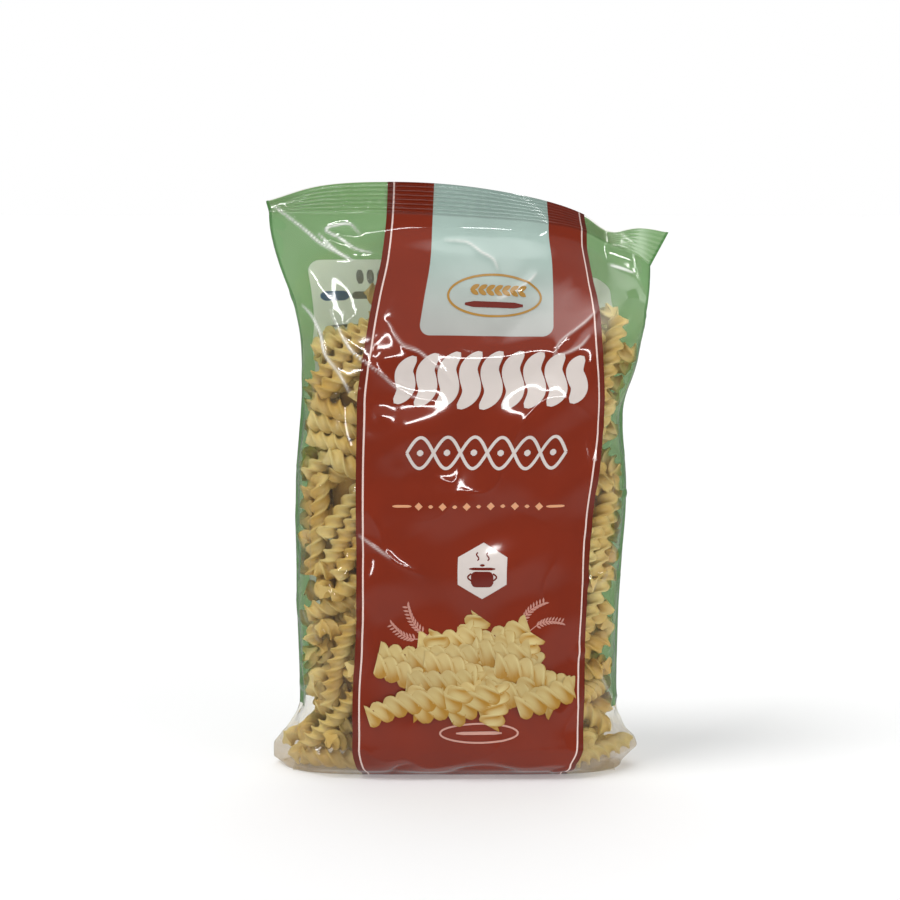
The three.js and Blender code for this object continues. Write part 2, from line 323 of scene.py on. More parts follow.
pasta = {
    "count": 436, "seed": 11, "packRadius": 3.9, "bladeRadius": 4.7, "coreRadius": 1.9, "bladeThick": 1.75,
    "halfLength": (13.5, 18.5), "pitch": (15.0, 19.0), "steps": 32, "wall": 2.8, "rounds": 320,
    # how hard the pieces and the wall push, and how far one may move or turn in a round
    "ease": 0.55, "wallEase": 0.6, "stepMost": 2.5, "turnMost": 0.12, "sink": 0.03,
    "bend": (0.2, 2.4), "sizes": (0.93, 1.04),
    "heapTop": [(-72, 180), (-62, 187), (-54, 196), (-44, 207), (-30, 210), (-10, 206), (20, 200),
                (45, 200), (58, 200), (66, 192), (72, 180)],
    # pieces are kept near the film, at the sides of the panel and at the heap's top and foot
    "seenWithin": 14.0, "seenBeside": 21.0, "seenFromTop": 24.0, "seenFromFoot": 16.0, "endRoom": 2.4,
    # and left out deep behind the panel and the label
    "deepUnder": 26.0, "deepOver": 20.0, "panelMiddle": 3.0, "panelHides": 35.0, "windowFrom": 30.0,
    "labelMiddle": -4.0, "labelHides": 44.0, "labelFoot": 52.0,
}


def wallLevel(points):
    # 0 on the film, negative inside; the neck leans and widens towards the seal's foot
    foot = np.array(sealFootLine, float)
    x = points[:, 0] - shift[0]
    drop = sealFoot - np.interp(x, foot[:, 0], foot[:, 2])
    z = points[:, 2] + drop * smoothStep(shoulder, sealFoot, points[:, 2] + drop / 2)
    gathered = smoothStep(shoulder, sealFoot, z)
    z = np.clip(z, 0, 235)
    zSide = np.maximum(z, 9)
    left, right = keyed(leftEdge, zSide), keyed(rightEdge, zSide)
    left, right = left + (foot[0, 0] - left) * gathered, right + (foot[-1, 0] - right) * gathered
    middleY = np.interp(x, foot[:, 0], foot[:, 1]) * gathered + shift[1]
    share = (x - (left + right) / 2) / ((right - left) / 2)
    depth, power = keyed(halfDepth, z), keyed(squareness, zSide)
    out = np.abs((points[:, 1] - middleY) / depth)
    return np.abs(share) ** power + out ** (1 / keyed(sideEdge, zSide)) - 1


def bagWall(points):
    # roughly how far inside the film a point is, in mm, and the way in
    level = wallLevel(points)
    slope = np.stack([wallLevel(points + way) - level for way in np.eye(3) * 0.5], -1) / 0.5
    size = np.maximum(np.linalg.norm(slope, axis=-1), 1 / 70)
    return -level / size, -slope / size[:, None]


def closest(p, d, hp, q, e, hq):
    # the nearest points of two segments, as places along them from their middles
    r = p - q
    b = np.sum(d * e, -1)
    c, f = np.sum(d * r, -1), np.sum(e * r, -1)
    room = np.maximum(1 - b * b, 1e-6)
    s = np.clip((b * f - c) / room, -hp, hp)
    t = np.clip(b * s + f, -hq, hq)
    return np.clip(b * t - c, -hp, hp), t


def settle():
    rng = np.random.default_rng(pasta["seed"])
    n = pasta["count"]
    centre = np.stack([rng.uniform(-66, 60, n), rng.uniform(-24, 24, n), rng.uniform(8, 196, n)], -1)
    way = rng.normal(size=(n, 3)) * [1.0, 0.55, 0.9]
    way /= np.linalg.norm(way, axis=-1, keepdims=True)
    half = rng.uniform(*pasta["halfLength"], n)
    radius = pasta["packRadius"]
    for turn in range(pasta["rounds"]):
        if turn % 8 == 0:
            gap = np.linalg.norm(centre[:, None] - centre[None], axis=-1)
            i, j = np.nonzero(np.triu(gap < half[:, None] + half[None] + 2 * radius + 2, 1))
        s, t = closest(centre[i], way[i], half[i], centre[j], way[j], half[j])
        away = centre[i] + way[i] * s[:, None] - centre[j] - way[j] * t[:, None]
        apart = np.maximum(np.linalg.norm(away, axis=-1), 1e-6)
        push = np.maximum(2 * radius - apart, 0) * 0.5
        away *= (push / apart)[:, None]
        move, spin = np.zeros((n, 3)), np.zeros((n, 3))
        for index, place, sign in ((i, s, 1), (j, t, -1)):
            arm = half[index] ** 2 / 3 + place**2
            np.add.at(move, index, sign * away * (1 / (1 + place**2 / arm))[:, None])
            np.add.at(spin, index, sign * away * (place / arm)[:, None])
        for end in (-1, -0.5, 0, 0.5, 1):
            p = centre + way * (half * end)[:, None]
            inside, inward = bagWall(p)
            short = np.maximum(radius + pasta["wall"] - inside, 0)
            fix = inward * short[:, None]
            fix[:, 2] += np.maximum(radius + pasta["wall"] - p[:, 2], 0)
            fix[:, 2] -= np.maximum(p[:, 2] + radius - keyed(pasta["heapTop"], p[:, 0]), 0)
            arm = half**2 / 3 + (half * end) ** 2
            move += fix * pasta["wallEase"]
            spin += fix * (half * end / arm)[:, None] * pasta["wallEase"]
        centre += np.clip(move * pasta["ease"], -pasta["stepMost"], pasta["stepMost"])
        centre[:, 2] -= pasta["sink"] * (turn < pasta["rounds"] * 0.8)
        way += np.clip(spin * pasta["ease"], -pasta["turnMost"], pasta["turnMost"])
        way /= np.linalg.norm(way, axis=-1, keepdims=True)
    overlap = np.maximum(2 * radius - apart, 0)
    print("pasta: settled, worst overlap", overlap.max().round(2))
    return centre, way, half, rng


def middleLines():
    # the pieces near the film or the top of the heap, each a gently bent line of points with its twist
    centre, way, half, rng = settle()
    x, y, z = centre.T
    inside = np.min([bagWall(centre + way * (half * end)[:, None])[0] for end in (-0.8, 0, 0.8)], 0)
    under = keyed(pasta["heapTop"], x) - z
    stray = np.zeros(len(centre), bool)
    for end in (-1, 0, 1):
        p = centre + way * (half * end)[:, None]
        stray |= (bagWall(p)[0] < pasta["endRoom"]) | (p[:, 2] > keyed(pasta["heapTop"], p[:, 0]))
    deep = (under > pasta["deepUnder"]) & (z > pasta["deepOver"])
    besidePanel, besideLabel = np.abs(x - pasta["panelMiddle"]), np.abs(x - pasta["labelMiddle"])
    behindPanel = deep & (y < -4) & (besidePanel < pasta["panelHides"])
    behindLabel = deep & (y > 8) & (besideLabel < pasta["labelHides"]) & (z > pasta["labelFoot"])
    window = (y < 6) & (besidePanel > pasta["windowFrom"])
    near = inside < np.where(window, pasta["seenBeside"], pasta["seenWithin"])
    near |= (under < pasta["seenFromTop"]) | (z < pasta["seenFromFoot"])
    seen = near & ~(behindPanel | behindLabel | stray)
    print("pasta: pieces that can be seen", int(seen.sum()))
    t = np.linspace(-1, 1, pasta["steps"] + 1)
    points, twists, sizes = [], [], []
    for c, d, h in zip(centre[seen], way[seen], half[seen]):
        side = np.cross(d, rng.normal(size=3))
        side /= np.linalg.norm(side)
        long = h + pasta["packRadius"]
        bend = rng.uniform(*pasta["bend"]) * (1 - t * t)
        bend -= bend.mean()
        points.append(c + d * (t * long)[:, None] + side * bend[:, None])
        pitch = rng.uniform(*pasta["pitch"])
        twists.append(rng.uniform(0, 2 * np.pi) + t * long / pitch * 2 * np.pi)
        taper = 1 - 0.10 * smoothStep(0.86, 1, np.abs(t))
        sizes.append(np.full(len(t), rng.uniform(*pasta["sizes"])) * taper)
    return np.array(points), np.array(twists), np.array(sizes)


def bladeOutline():
    # three blades round a core: for each a hollow, two flanks and a blunt, rounded tip
    points = []
    tall, core, thick = pasta["bladeRadius"], pasta["coreRadius"], pasta["bladeThick"]
    for blade in range(3):
        angle = blade * 2 * np.pi / 3
        along, beside = np.array([np.cos(angle), np.sin(angle)]), np.array([-np.sin(angle), np.cos(angle)])
        hollow = np.array([np.cos(angle - np.pi / 3), np.sin(angle - np.pi / 3)]) * core
        points.append(hollow)
        for rise, wide in ((0.62, -0.62), (0.95, -0.40), (0.95, 0.40), (0.62, 0.62)):
            points.append(along * tall * rise + beside * thick * wide)
    return np.array(points)


def twistTree(material):
    # middle lines become curves, turn by their twist and carry the bladed outline
    tree = bpy.data.node_groups.new("twist pasta", "GeometryNodeTree")
    tree.interface.new_socket("Geometry", in_out="INPUT", socket_type="NodeSocketGeometry")
    tree.interface.new_socket("Outline", in_out="INPUT", socket_type="NodeSocketObject")
    tree.interface.new_socket("Geometry", in_out="OUTPUT", socket_type="NodeSocketGeometry")
    entry = addNode(tree, "NodeGroupInput")
    twist = addNode(tree, "GeometryNodeInputNamedAttribute", {"Name": "twist"}, data_type="FLOAT")
    size = addNode(tree, "GeometryNodeInputNamedAttribute", {"Name": "size"}, data_type="FLOAT")
    lines = addNode(tree, "GeometryNodeMeshToCurve", {"Mesh": entry.outputs["Geometry"]})
    tilted = addNode(tree, "GeometryNodeSetCurveTilt", {"Curve": lines, "Tilt": twist})
    sized = addNode(tree, "GeometryNodeSetCurveRadius", {"Curve": tilted, "Radius": size})
    shape = addNode(tree, "GeometryNodeObjectInfo", {"Object": entry.outputs["Outline"]})
    ring = addNode(tree, "GeometryNodeMeshToCurve", {"Mesh": shape.outputs["Geometry"]})
    swept = addNode(tree, "GeometryNodeCurveToMesh", {
        "Curve": sized, "Profile Curve": ring, "Scale": size, "Fill Caps": True})
    smooth = addNode(tree, "GeometryNodeSetShadeSmooth", {"Geometry": swept})
    real = addNode(tree, "GeometryNodeRealizeInstances", {"Geometry": smooth})
    finished = addNode(tree, "GeometryNodeSetMaterial", {"Geometry": real, "Material": material})
    addNode(tree, "NodeGroupOutput", {"Geometry": finished})
    return tree


def polylineMesh(name, points, closed=False):
    # points is an array of lines of points, in mm
    lines, steps = points.shape[:2]
    index = np.arange(lines * steps).reshape(lines, steps)
    edges = np.stack([index, np.roll(index, -1, 1)], -1)
    edges = edges if closed else edges[:, :-1]
    mesh = bpy.data.meshes.new(name)
    mesh.from_pydata((points.reshape(-1, 3) * mm).tolist(), edges.reshape(-1, 2).tolist(), [])
    piece = bpy.data.objects.new(name, mesh)
    scene.collection.objects.link(piece)
    return piece


def twistPasta(name, points, twists, sizes, material):
    source = polylineMesh(name + "_lines", points)
    giveValues(source, {"twist": twists.ravel(), "size": sizes.ravel()})
    ring = bladeOutline()
    ring = np.concatenate([ring, np.zeros((len(ring), 1))], 1)
    outlinePiece = polylineMesh(name + "_outline", ring[None], True)
    tree = twistTree(material)
    modifier = source.modifiers.new("twist", "NODES")
    modifier.node_group = tree
    for item in tree.interface.items_tree:
        if item.name == "Outline":
            modifier[item.identifier] = outlinePiece
    bpy.context.view_layer.update()
    evaluated = source.evaluated_get(bpy.context.evaluated_depsgraph_get())
    mesh = bpy.data.meshes.new_from_object(evaluated)
    mesh.name = name
    piece = bpy.data.objects.new(name, mesh)
    scene.collection.objects.link(piece)
    for spare in (source, outlinePiece):
        bpy.data.objects.remove(spare)
    return piece


def pastaMaterial():
    # dried durum wheat, pressed through bronze: dull, slightly glassy, paler on the blades' edges
    material, tree = newMaterial("dried durum wheat")
    place = addNode(tree, "ShaderNodeTexCoord").outputs["Object"]
    cloud = addNode(tree, "ShaderNodeTexNoise", {"Vector": place, "Scale": 1 / (22 * mm), "Detail": 2.0})
    grain = addNode(tree, "ShaderNodeTexNoise", {"Vector": place, "Scale": 1 / (1.4 * mm), "Detail": 3.0})
    shades = addNode(tree, "ShaderNodeValToRGB", {"Fac": cloud})
    shades.color_ramp.elements[0].position = 0.36
    shades.color_ramp.elements[0].color = linear("d6b15a")
    shades.color_ramp.elements[1].position = 0.66
    shades.color_ramp.elements[1].color = linear("e8d794")
    bump = addNode(tree, "ShaderNodeBump", {"Height": grain, "Distance": 0.12 * mm, "Strength": 0.5})
    surface = addNode(tree, "ShaderNodeBsdfPrincipled", {
        "Base Color": shades, "Roughness": 0.5, "IOR": 1.5,
        "Subsurface Weight": 0.12, "Subsurface Radius": (1.0, 0.7, 0.35), "Subsurface Scale": 1.2 * mm,
        "Normal": bump})
    addNode(tree, "ShaderNodeOutputMaterial", {"Surface": surface})
    return material


durumWheat = pastaMaterial()
linePoints, lineTwists, lineSizes = middleLines()
fusilli = twistPasta("fusilli", linePoints, lineTwists, lineSizes, durumWheat)
print("pasta:", sum(len(p.vertices) - 2 for p in fusilli.data.polygons), "triangles")


# The film settles: its true width is a little more than the rule's, so it buckles over the pasta

film = {
    "flatWidth": 176.5, "seed": 5, "bodyExcess": 0.008, "upExcess": 0.006, "neckExcess": 0.003,
    "coarseRounds": 220, "fineRounds": 50, "bendCoarse": 0.3, "bendFine": 0.15, "pull": 0.02,
    "inMost": 1.3, "neckInMost": -1.0, "outMost": 0.9, "clearance": 0.35, "bridge": 3.0,
    "smoothRounds": 24, "panelDrawn": 0.5, "slantStiff": 0.35, "pressStiff": 0.7, "sideKept": 0.985,
    "widenMost": 1.011, "tuckWithin": 6.0, "neck": (165, 205, 208, 238), "foot": (4, 24),
}


def smoothNoise(rng, points, size):
    # soft noise in space from a few random waves, about size mm long
    total = np.zeros(points.shape[:-1])
    for _ in range(14):
        way = rng.normal(size=3)
        way /= np.linalg.norm(way)
        total += np.sin(points @ way * (2 * np.pi / (size * rng.uniform(0.7, 1.5))) + rng.uniform(0, 6.3))
    return total / math.sqrt(7)


def familyOf(rows, columns, dRow, dColumn, rowParity, columnParity, period):
    # index pairs from each vertex to the one dRow up and dColumn round, with no vertex in two pairs
    row, column = np.meshgrid(np.arange(rows - dRow), np.arange(columns), indexing="ij")
    keep = np.ones(row.shape, bool)
    if rowParity is not None:
        keep &= (row // period) % 2 == rowParity
    if columnParity is not None:
        keep &= (column // period) % 2 == columnParity
    a = (row * columns + column)[keep]
    b = ((row + dRow) * columns + (column + dColumn) % columns)[keep]
    return a, b


def stretchFamilies(points, widen, lengthen):
    # rest lengths follow the rule, widened round the bag and lengthened up it
    rows, columns = points.shape[:2]
    flat = points.reshape(-1, 3)
    widenAll, lengthenAll = widen.ravel(), lengthen.ravel()
    families = []
    for dRow, dColumn, rowParity, columnParity, period, kind in (
        (0, 1, None, 0, 1, "across"), (0, 1, None, 1, 1, "across"),
        (1, 0, 0, None, 1, "up"), (1, 0, 1, None, 1, "up"),
        (1, 1, 0, None, 1, "slant"), (1, 1, 1, None, 1, "slant"),
        (1, -1, 0, None, 1, "slant"), (1, -1, 1, None, 1, "slant"),
        (0, 2, None, 0, 2, "bend"), (0, 2, None, 1, 2, "bend"),
        (2, 0, 0, None, 2, "bend"), (2, 0, 1, None, 2, "bend"),
    ):
        a, b = familyOf(rows, columns, dRow, dColumn, rowParity, columnParity, period)
        rest = np.linalg.norm(flat[a] - flat[b], axis=-1)
        if kind == "across" or (kind == "bend" and dColumn):
            rest = rest * widenAll[a]
        elif kind == "up" or kind == "bend":
            rest = rest * lengthenAll[a]
        else:
            rest = rest * np.sqrt((widenAll[a] ** 2 + lengthenAll[a] ** 2) / 2)
        families.append((a, b, rest, kind))
    return families


def relax(points, start, families, free, rounds, bend, inMost, outMost, outward):
    x, base, normal = start.reshape(-1, 3).copy(), points.reshape(-1, 3), outward.reshape(-1, 3)
    weight = free.ravel()
    for _ in range(rounds):
        for a, b, rest, kind in families:
            d = x[b] - x[a]
            length = np.maximum(np.linalg.norm(d, axis=-1), 1e-6)
            stretch = (length - rest) / length
            if kind == "bend":
                stretch = np.minimum(stretch, 0) * bend
            elif kind == "slant":
                stretch = stretch * film["slantStiff"]
            else:
                stretch = np.where(stretch > 0, stretch, stretch * film["pressStiff"])
            wa, wb = weight[a], weight[b]
            share = stretch / np.maximum(wa + wb, 1e-6)
            x[a] += d * (share * wa)[:, None]
            x[b] -= d * (share * wb)[:, None]
        away = x - base
        out = np.sum(away * normal, -1)
        side = away - normal * out[:, None]
        out = np.clip(out - film["pull"] * weight, -inMost.ravel(), outMost.ravel())
        out = np.where(weight > 0, out, 0)
        x = base + normal * out[:, None] + side * (film["sideKept"] * (weight > 0))[:, None]
    return x.reshape(points.shape)


def roomFor(gridOf, outward):
    # how far in the film can go before it meets pasta, how far out it may stand, and how free it is
    points = gridOf["points"]
    h = np.repeat(gridOf["heights"][:, None], points.shape[1], 1)
    tree = BVHTree.FromPolygons([v.co for v in fusilli.data.vertices],
                                [tuple(p.vertices) for p in fusilli.data.polygons])
    gap = np.full(h.shape, 9.0)
    for row, column in np.ndindex(h.shape):
        if h[row, column] < sealFoot:
            n = outward[row, column]
            start = (points[row, column] + n * 2) * mm
            hit = tree.ray_cast(Vector(start), Vector(-n), 10 * mm)
            if hit[0] is not None:
                gap[row, column] = hit[3] / mm - 2
    # the film bridges from piece to piece
    limit = gap - film["clearance"]
    reach = max(1, round(film["bridge"] / gridOf["step"]["body"]))
    for turn in range(3 * reach):
        padded = np.pad(limit, ((1, 1), (0, 0)), "edge")
        beside = [np.roll(limit, 1, 1), np.roll(limit, -1, 1), padded[2:], padded[:-2]]
        limit = np.minimum.reduce([limit] + beside) if turn < reach else limit / 2 + sum(beside) / 8
    neck = smoothStep(*film["neck"][:2], h) * (1 - smoothStep(*film["neck"][2:], h))
    low = 1 - smoothStep(*film["foot"], h)
    inMost = np.minimum(film["inMost"] + film["neckInMost"] * neck - 0.8 * low, np.maximum(limit, -1.2))
    inMost = np.minimum(inMost, np.maximum(gridOf["depth"] * 0.8, -inMost))
    outMost = np.maximum(film["outMost"] + 0.4 * neck - 0.3 * low, -inMost + 0.05)
    free = smoothStep(0, 3.5, h) * (1 - smoothStep(236, 240, h))
    free = np.where(free < 0.02, 0, free)
    return inMost, outMost, free, neck


def excessOf(gridOf, neck):
    lengths = gridOf["lengths"]
    widen = np.ones(gridOf["points"].shape[:2])
    frontColumns = gridOf["step"]["strip"] * 2 + gridOf["step"]["panel"]
    frontArc, backArc = lengths[:, 0], lengths[:, 1] - lengths[:, 0]
    for block, arc in ((slice(0, frontColumns), frontArc), (slice(frontColumns, None), backArc)):
        true = np.clip(film["flatWidth"] / arc, 1 + film["bodyExcess"], film["widenMost"])
        widen[:, block] = true[:, None]
    return widen, 1 + film["upExcess"] + film["neckExcess"] * neck


def smoothSample(field, row, column):
    # a smooth surface through a grid's points; row and column count its rows and columns, with fractions
    def weights(t):
        return np.stack([t * (t * (2 - t) - 1), t * t * (3 * t - 5) + 2, t * (t * (4 - 3 * t) + 1),
                         t * t * (t - 1)]) / 2

    r, c = np.floor(row).astype(int), np.floor(column).astype(int)
    rowWeights, columnWeights = weights(row - r), weights(column - c)
    up = sum(rowWeights[n][:, None, None] * field[np.clip(r + n - 1, 0, len(field) - 1)] for n in range(4))
    return sum(columnWeights[n][None, :, None] * up[:, (c + n - 1) % field.shape[1]] for n in range(4))


def settleFilm():
    rng = np.random.default_rng(film["seed"])
    coarse = coarseGrid["points"]
    outward = outwardOf(coarse)
    inMost, outMost, free, neck = roomFor(coarseGrid, outward)
    widen, lengthen = excessOf(coarseGrid, neck)
    noise = (smoothNoise(rng, coarse, 48) * 0.9 + smoothNoise(rng, coarse, 22) * 0.3) * (0.5 + 0.5 * neck)
    start = coarse + outward * (noise * free)[..., None]
    families = stretchFamilies(coarse, widen, lengthen)
    moved = relax(coarse, start, families, free, film["coarseRounds"], film["bendCoarse"], inMost, outMost,
                  outward) - coarse
    print("film: coarse pass done")
    # the coarse pass's moves carry over to the fine grid
    fine = fineGrid["points"]
    row = np.interp(fineGrid["heights"], coarseGrid["heights"], np.arange(len(coarse)))
    column = np.arange(fine.shape[1]) * coarse.shape[1] / fine.shape[1]
    carried = smoothSample(moved, row, column)
    fineOut = outwardOf(fine)
    inMost, outMost, free, neck = roomFor(fineGrid, fineOut)
    widen, lengthen = excessOf(fineGrid, neck)
    families = stretchFamilies(fine, widen, lengthen)
    result = relax(fine, fine + carried, families, free, film["fineRounds"], film["bendFine"], inMost,
                   outMost, fineOut)
    print("film: fine pass done")
    # where little presses on the film, its small dents are drawn out
    moved = result - fine
    step = fineGrid["step"]
    inPanel = np.arange(fine.shape[1]) - step["strip"] - step["panel"] / 2
    inPanel = 1 - smoothStep(step["panel"] / 2 - 8, step["panel"] / 2, np.abs(inPanel))
    overFoot = smoothStep(12, 40, fineGrid["heights"])[:, None]
    drawn = np.maximum(neck, film["panelDrawn"] * inPanel * overFoot)
    for _ in range(film["smoothRounds"]):
        padded = np.pad(moved, ((1, 1), (0, 0), (0, 0)), "edge")
        beside = (np.roll(moved, 1, 1) + np.roll(moved, -1, 1) + padded[2:] + padded[:-2]) / 4
        moved += (beside - moved) * drawn[..., None] * 0.6
    return fine + moved


# The finished film: a closer grid through the settled one, with facets and sharp creases that catch light

finish = {
    "strip": 44, "panel": 170, "back": 200, "row": 0.7, "sealRows": 84, "underRows": 8, "underRise": 1.6,
    "facets": ((0.30, 60.0), (0.06, 26.0)), "ridgeTall": 0.34, "ridgeWide": 1.3, "ridgeSize": 60.0,
    # half width, widest crease and heights for the white lines painted along the creases as glints
    "glintHalf": 0.5, "glintWide": 1.45, "glintFrom": (10.0, 90.0), "ridgePatch": 80.0,
    # heights over which the facets and the creases set in and fade out
    "facetsFrom": (3, 16), "facetsTo": (226, 239), "foldsFrom": (0, 3), "foldsTo": (236, 243),
}
# creases as seen from the front: how far each stands out, its half width, and its way across and up
foldLines = [
    (0.85, 1.3, [(-81, 242), (-69, 233), (-62, 227), (-53, 222)]),
    (0.77, 1.2, [(-46, 231), (-50, 235), (-54, 235), (-60, 233), (-54, 229), (-48, 225), (-41, 223)]),
    (0.59, 1.2, [(-63, 231), (-56, 224), (-49, 220)]),
    (0.85, 1.3, [(-70, 201), (-66, 197), (-62, 189), (-60, 181), (-54, 173), (-50, 166)]),
    (1.02, 1.4, [(-58, 199), (-53, 189), (-49, 183), (-37, 174), (-30, 168), (-22, 164), (-15, 163)]),
    (0.85, 1.3, [(-34, 195), (-28, 186), (-21, 183), (-15, 178), (-10, 174), (-6, 168)]),
    (0.77, 1.2, [(-10, 228), (-1, 227), (5, 223), (10, 220), (12, 216)]),
    (0.77, 1.2, [(28, 214), (25, 211), (17, 206), (12, 204)]),
    (1.02, 1.4, [(53, 198), (48, 194), (37, 186), (35, 181)]),
    (0.85, 1.3, [(50, 189), (46, 185), (42, 183), (36, 181)]),
    (0.59, 1.2, [(61, 216), (71, 213)]),
    (0.77, 1.2, [(-46, 106), (-39, 101), (-33, 97)]),
    (0.85, 1.6, [(-43, 118), (-38, 109), (-33, 97), (-20, 90)]),
    (0.77, 2.0, [(36, 96), (31, 84), (34, 70)]),
    (0.68, 1.6, [(44, 36), (38, 30), (34, 34)]),
    (-1.30, 2.4, [(-35, -2), (-31, 4), (-25, 7)]),
    (-1.50, 2.6, [(-13, -2), (-4, 3), (8, 5), (20, 3)]),
    (1.19, 2.2, [(-45, 14), (-36, 9), (-27, 10), (-18, 6), (-8, 7), (2, 9)]),
    (0.85, 2.0, [(8, 9), (22, 6), (38, 7), (48, 3)]),
    (1.02, 1.4, [(-74, 26), (-70, 18), (-63, 9), (-58, 5)]),
    (0.85, 1.3, [(-72, 20), (-66, 11), (-61, 6)]),
    (0.85, 1.3, [(66, 22), (64, 14), (60, 7)]),
    (0.77, 1.2, [(56, 44), (61, 33), (66, 28)]),
]


def foldRelief(points, outward):
    # how far the creases stand out at each point, and where white lines are painted along them as glints
    total, pale = np.zeros(points.shape[:2]), np.zeros(points.shape[:2])
    flat = points[..., [0, 2]]
    for tall, wide, way in foldLines:
        line = throughPoints(way, np.linspace(0, 1, 60))
        reach = 5 * wide
        near = np.all((flat > line.min(0) - reach) & (flat < line.max(0) + reach), -1)
        near &= outward[..., 1] < -0.1
        gap = np.linalg.norm(flat[near][:, None] - line[None], axis=-1)
        along = gap.argmin(1) / (len(line) - 1)
        gap, fade = gap.min(1), np.sin(np.pi * (0.03 + 0.94 * along)) ** 0.5
        total[near] += tall * np.exp(-gap / wide) * fade
        # narrow creases get a painted glint, a white line along them, fading out towards the foot
        if wide < finish["glintWide"]:
            glintPaint = fade * smoothStep(*finish["glintFrom"], flat[near][:, 1])
            pale[near] = np.maximum(pale[near], np.exp(-(gap / finish["glintHalf"]) ** 2) * glintPaint)
    return total, pale


def finishFilm(settled):
    rng = np.random.default_rng(film["seed"] + 1)
    step = fineGrid["step"]
    count = round(sealFoot / finish["row"])
    upTo = np.concatenate([np.linspace(0, sealFoot, count, endpoint=False),
                           np.linspace(sealFoot, sealTop, finish["sealRows"] + 1)])
    row = np.interp(upTo, fineGrid["heights"], np.arange(len(fineGrid["heights"])))
    starts = np.cumsum([0, step["strip"], step["panel"], step["strip"], step["back"]])
    counts = (finish["strip"], finish["panel"], finish["strip"], finish["back"])
    column = evenly(starts, counts)
    points = smoothSample(settled, row, column)
    plain = smoothSample(fineGrid["points"], row, column)
    depth = smoothSample(fineGrid["depth"][..., None], row, column)[..., 0]
    outward = outwardOf(points)
    h = np.repeat(upTo[:, None], len(column), 1)
    total = sum(tall * (np.abs(smoothNoise(rng, plain, size)) - 0.8) for tall, size in finish["facets"])
    noise = smoothNoise(rng, plain, finish["ridgeSize"])
    slope = np.hypot(*np.gradient(noise, finish["row"]))
    ridges = finish["ridgeTall"] * np.exp(-np.abs(noise) / np.maximum(slope, 0.02) / finish["ridgeWide"])
    total += ridges * smoothStep(0.0, 1.2, smoothNoise(rng, plain, finish["ridgePatch"]))
    fade = smoothStep(*finish["facetsFrom"], h) * (1 - smoothStep(*finish["facetsTo"], h))
    fade = fade * np.clip(depth / 3, 0, 1)
    # pale holds the painted glints along the creases
    folds, pale = foldRelief(points, outward)
    total = total * fade + folds * smoothStep(*finish["foldsFrom"], h) * (
        1 - smoothStep(*finish["foldsTo"], h))
    points = points + outward * total[..., None]
    points[..., 2] = np.maximum(points[..., 2], 0.02)
    # the film runs on under the bag to its middle line
    under = []
    middle = shift[1]
    for n in range(finish["underRows"], 0, -1):
        share = n / finish["underRows"]
        ring = points[0].copy()
        ring[:, 1] = middle + (ring[:, 1] - middle) * (1 - share)
        ring[:, 2] += finish["underRise"] * math.sin(share * np.pi / 2)
        under.append(ring)
    upTo = np.concatenate([-np.arange(finish["underRows"], 0, -1) * 2.5, upTo])
    pale = np.concatenate([np.zeros((finish["underRows"], pale.shape[1])), pale])
    return np.concatenate([np.array(under), points]), upTo, pale


filmPoints, heights, paintedGlints = finishFilm(settleFilm())
filmOut = outwardOf(filmPoints)
columnCount = filmPoints.shape[1]
print("film: finished grid of", filmPoints.shape[:2])


def tuckPasta():
    # pasta that would stand through the film is pressed back to just inside it
    co = vertexValues(fusilli, "co") / mm
    flat, out = filmPoints.reshape(-1, 3), filmOut.reshape(-1, 3)
    tree = KDTree(len(flat))
    for n, point in enumerate(flat):
        tree.insert(point, n)
    tree.balance()
    near = np.nonzero((bagWall(co)[0] < film["tuckWithin"]) | (co[:, 2] < film["tuckWithin"]))[0]
    moved = 0
    for n in near:
        for _ in range(2):
            at = tree.find(co[n])[1]
            over = (co[n] - flat[at]) @ out[at] + film["clearance"]
            if over > 0:
                co[n] -= out[at] * over
                moved += 1
    co[:, 2] = np.maximum(co[:, 2], finish["underRise"] + 0.3)
    fusilli.data.vertices.foreach_set("co", (co * mm).ravel())
    fusilli.data.update()
    print("pasta: points pressed in", moved, "of", len(near))


tuckPasta()


def onFilm(along, height, out=0.0, back=False):
    # points of the film at places on the print: along in mm from its middle line, height up it, out from it
    along, height, out = np.broadcast_arrays(*(np.asarray(v, float) for v in (along, height, out)))
    row = np.interp(height, heights, np.arange(len(heights)))
    half = printArea["half"]
    if back:
        wide = backWidth(height)
        column = finish["strip"] * 2 + finish["panel"] + (along + wide / 2) / wide * finish["back"]
    else:
        column = finish["strip"] + (along + half) / (2 * half) * finish["panel"]
    r0, c0 = np.floor(row).astype(int), np.floor(column).astype(int)
    fr, fc = (row - r0)[..., None], (column - c0)[..., None]
    r1 = np.minimum(r0 + 1, len(heights) - 1)
    c0, c1 = c0 % columnCount, (c0 + 1) % columnCount
    made = []
    for field in (filmPoints, filmOut):
        low = field[r0, c0] * (1 - fc) + field[r0, c1] * fc
        high = field[r1, c0] * (1 - fc) + field[r1, c1] * fc
        made.append(low * (1 - fr) + high * fr)
    return made[0] + made[1] * out[..., None]


def backWidth(height):
    front, whole = (np.interp(height, fineGrid["heights"], fineGrid["lengths"][:, n]) for n in range(2))
    return whole - front + 2 * keyed(printArea["greenWrap"], height)


# Film materials. The film is oriented polypropylene, stretched both ways and mirror-smooth: it shows as
# bright lines on its creases, where white lines are painted on as well, and as a pale veil where it leans to
# the light.

filmGloss = {"ior": 1.5, "roughness": 0.07, "wave": 11 * mm, "waveDepth": 0.2 * mm}


def stretchWaves(tree):
    # the slight unevenness of stretched film, about a centimetre long
    place = addNode(tree, "ShaderNodeTexCoord").outputs["Object"]
    wide = addNode(tree, "ShaderNodeTexNoise", {
        "Vector": place, "Scale": 1 / filmGloss["wave"], "Detail": 2.0})
    return addNode(tree, "ShaderNodeBump", {
        "Height": wide, "Distance": filmGloss["waveDepth"], "Strength": 0.3})


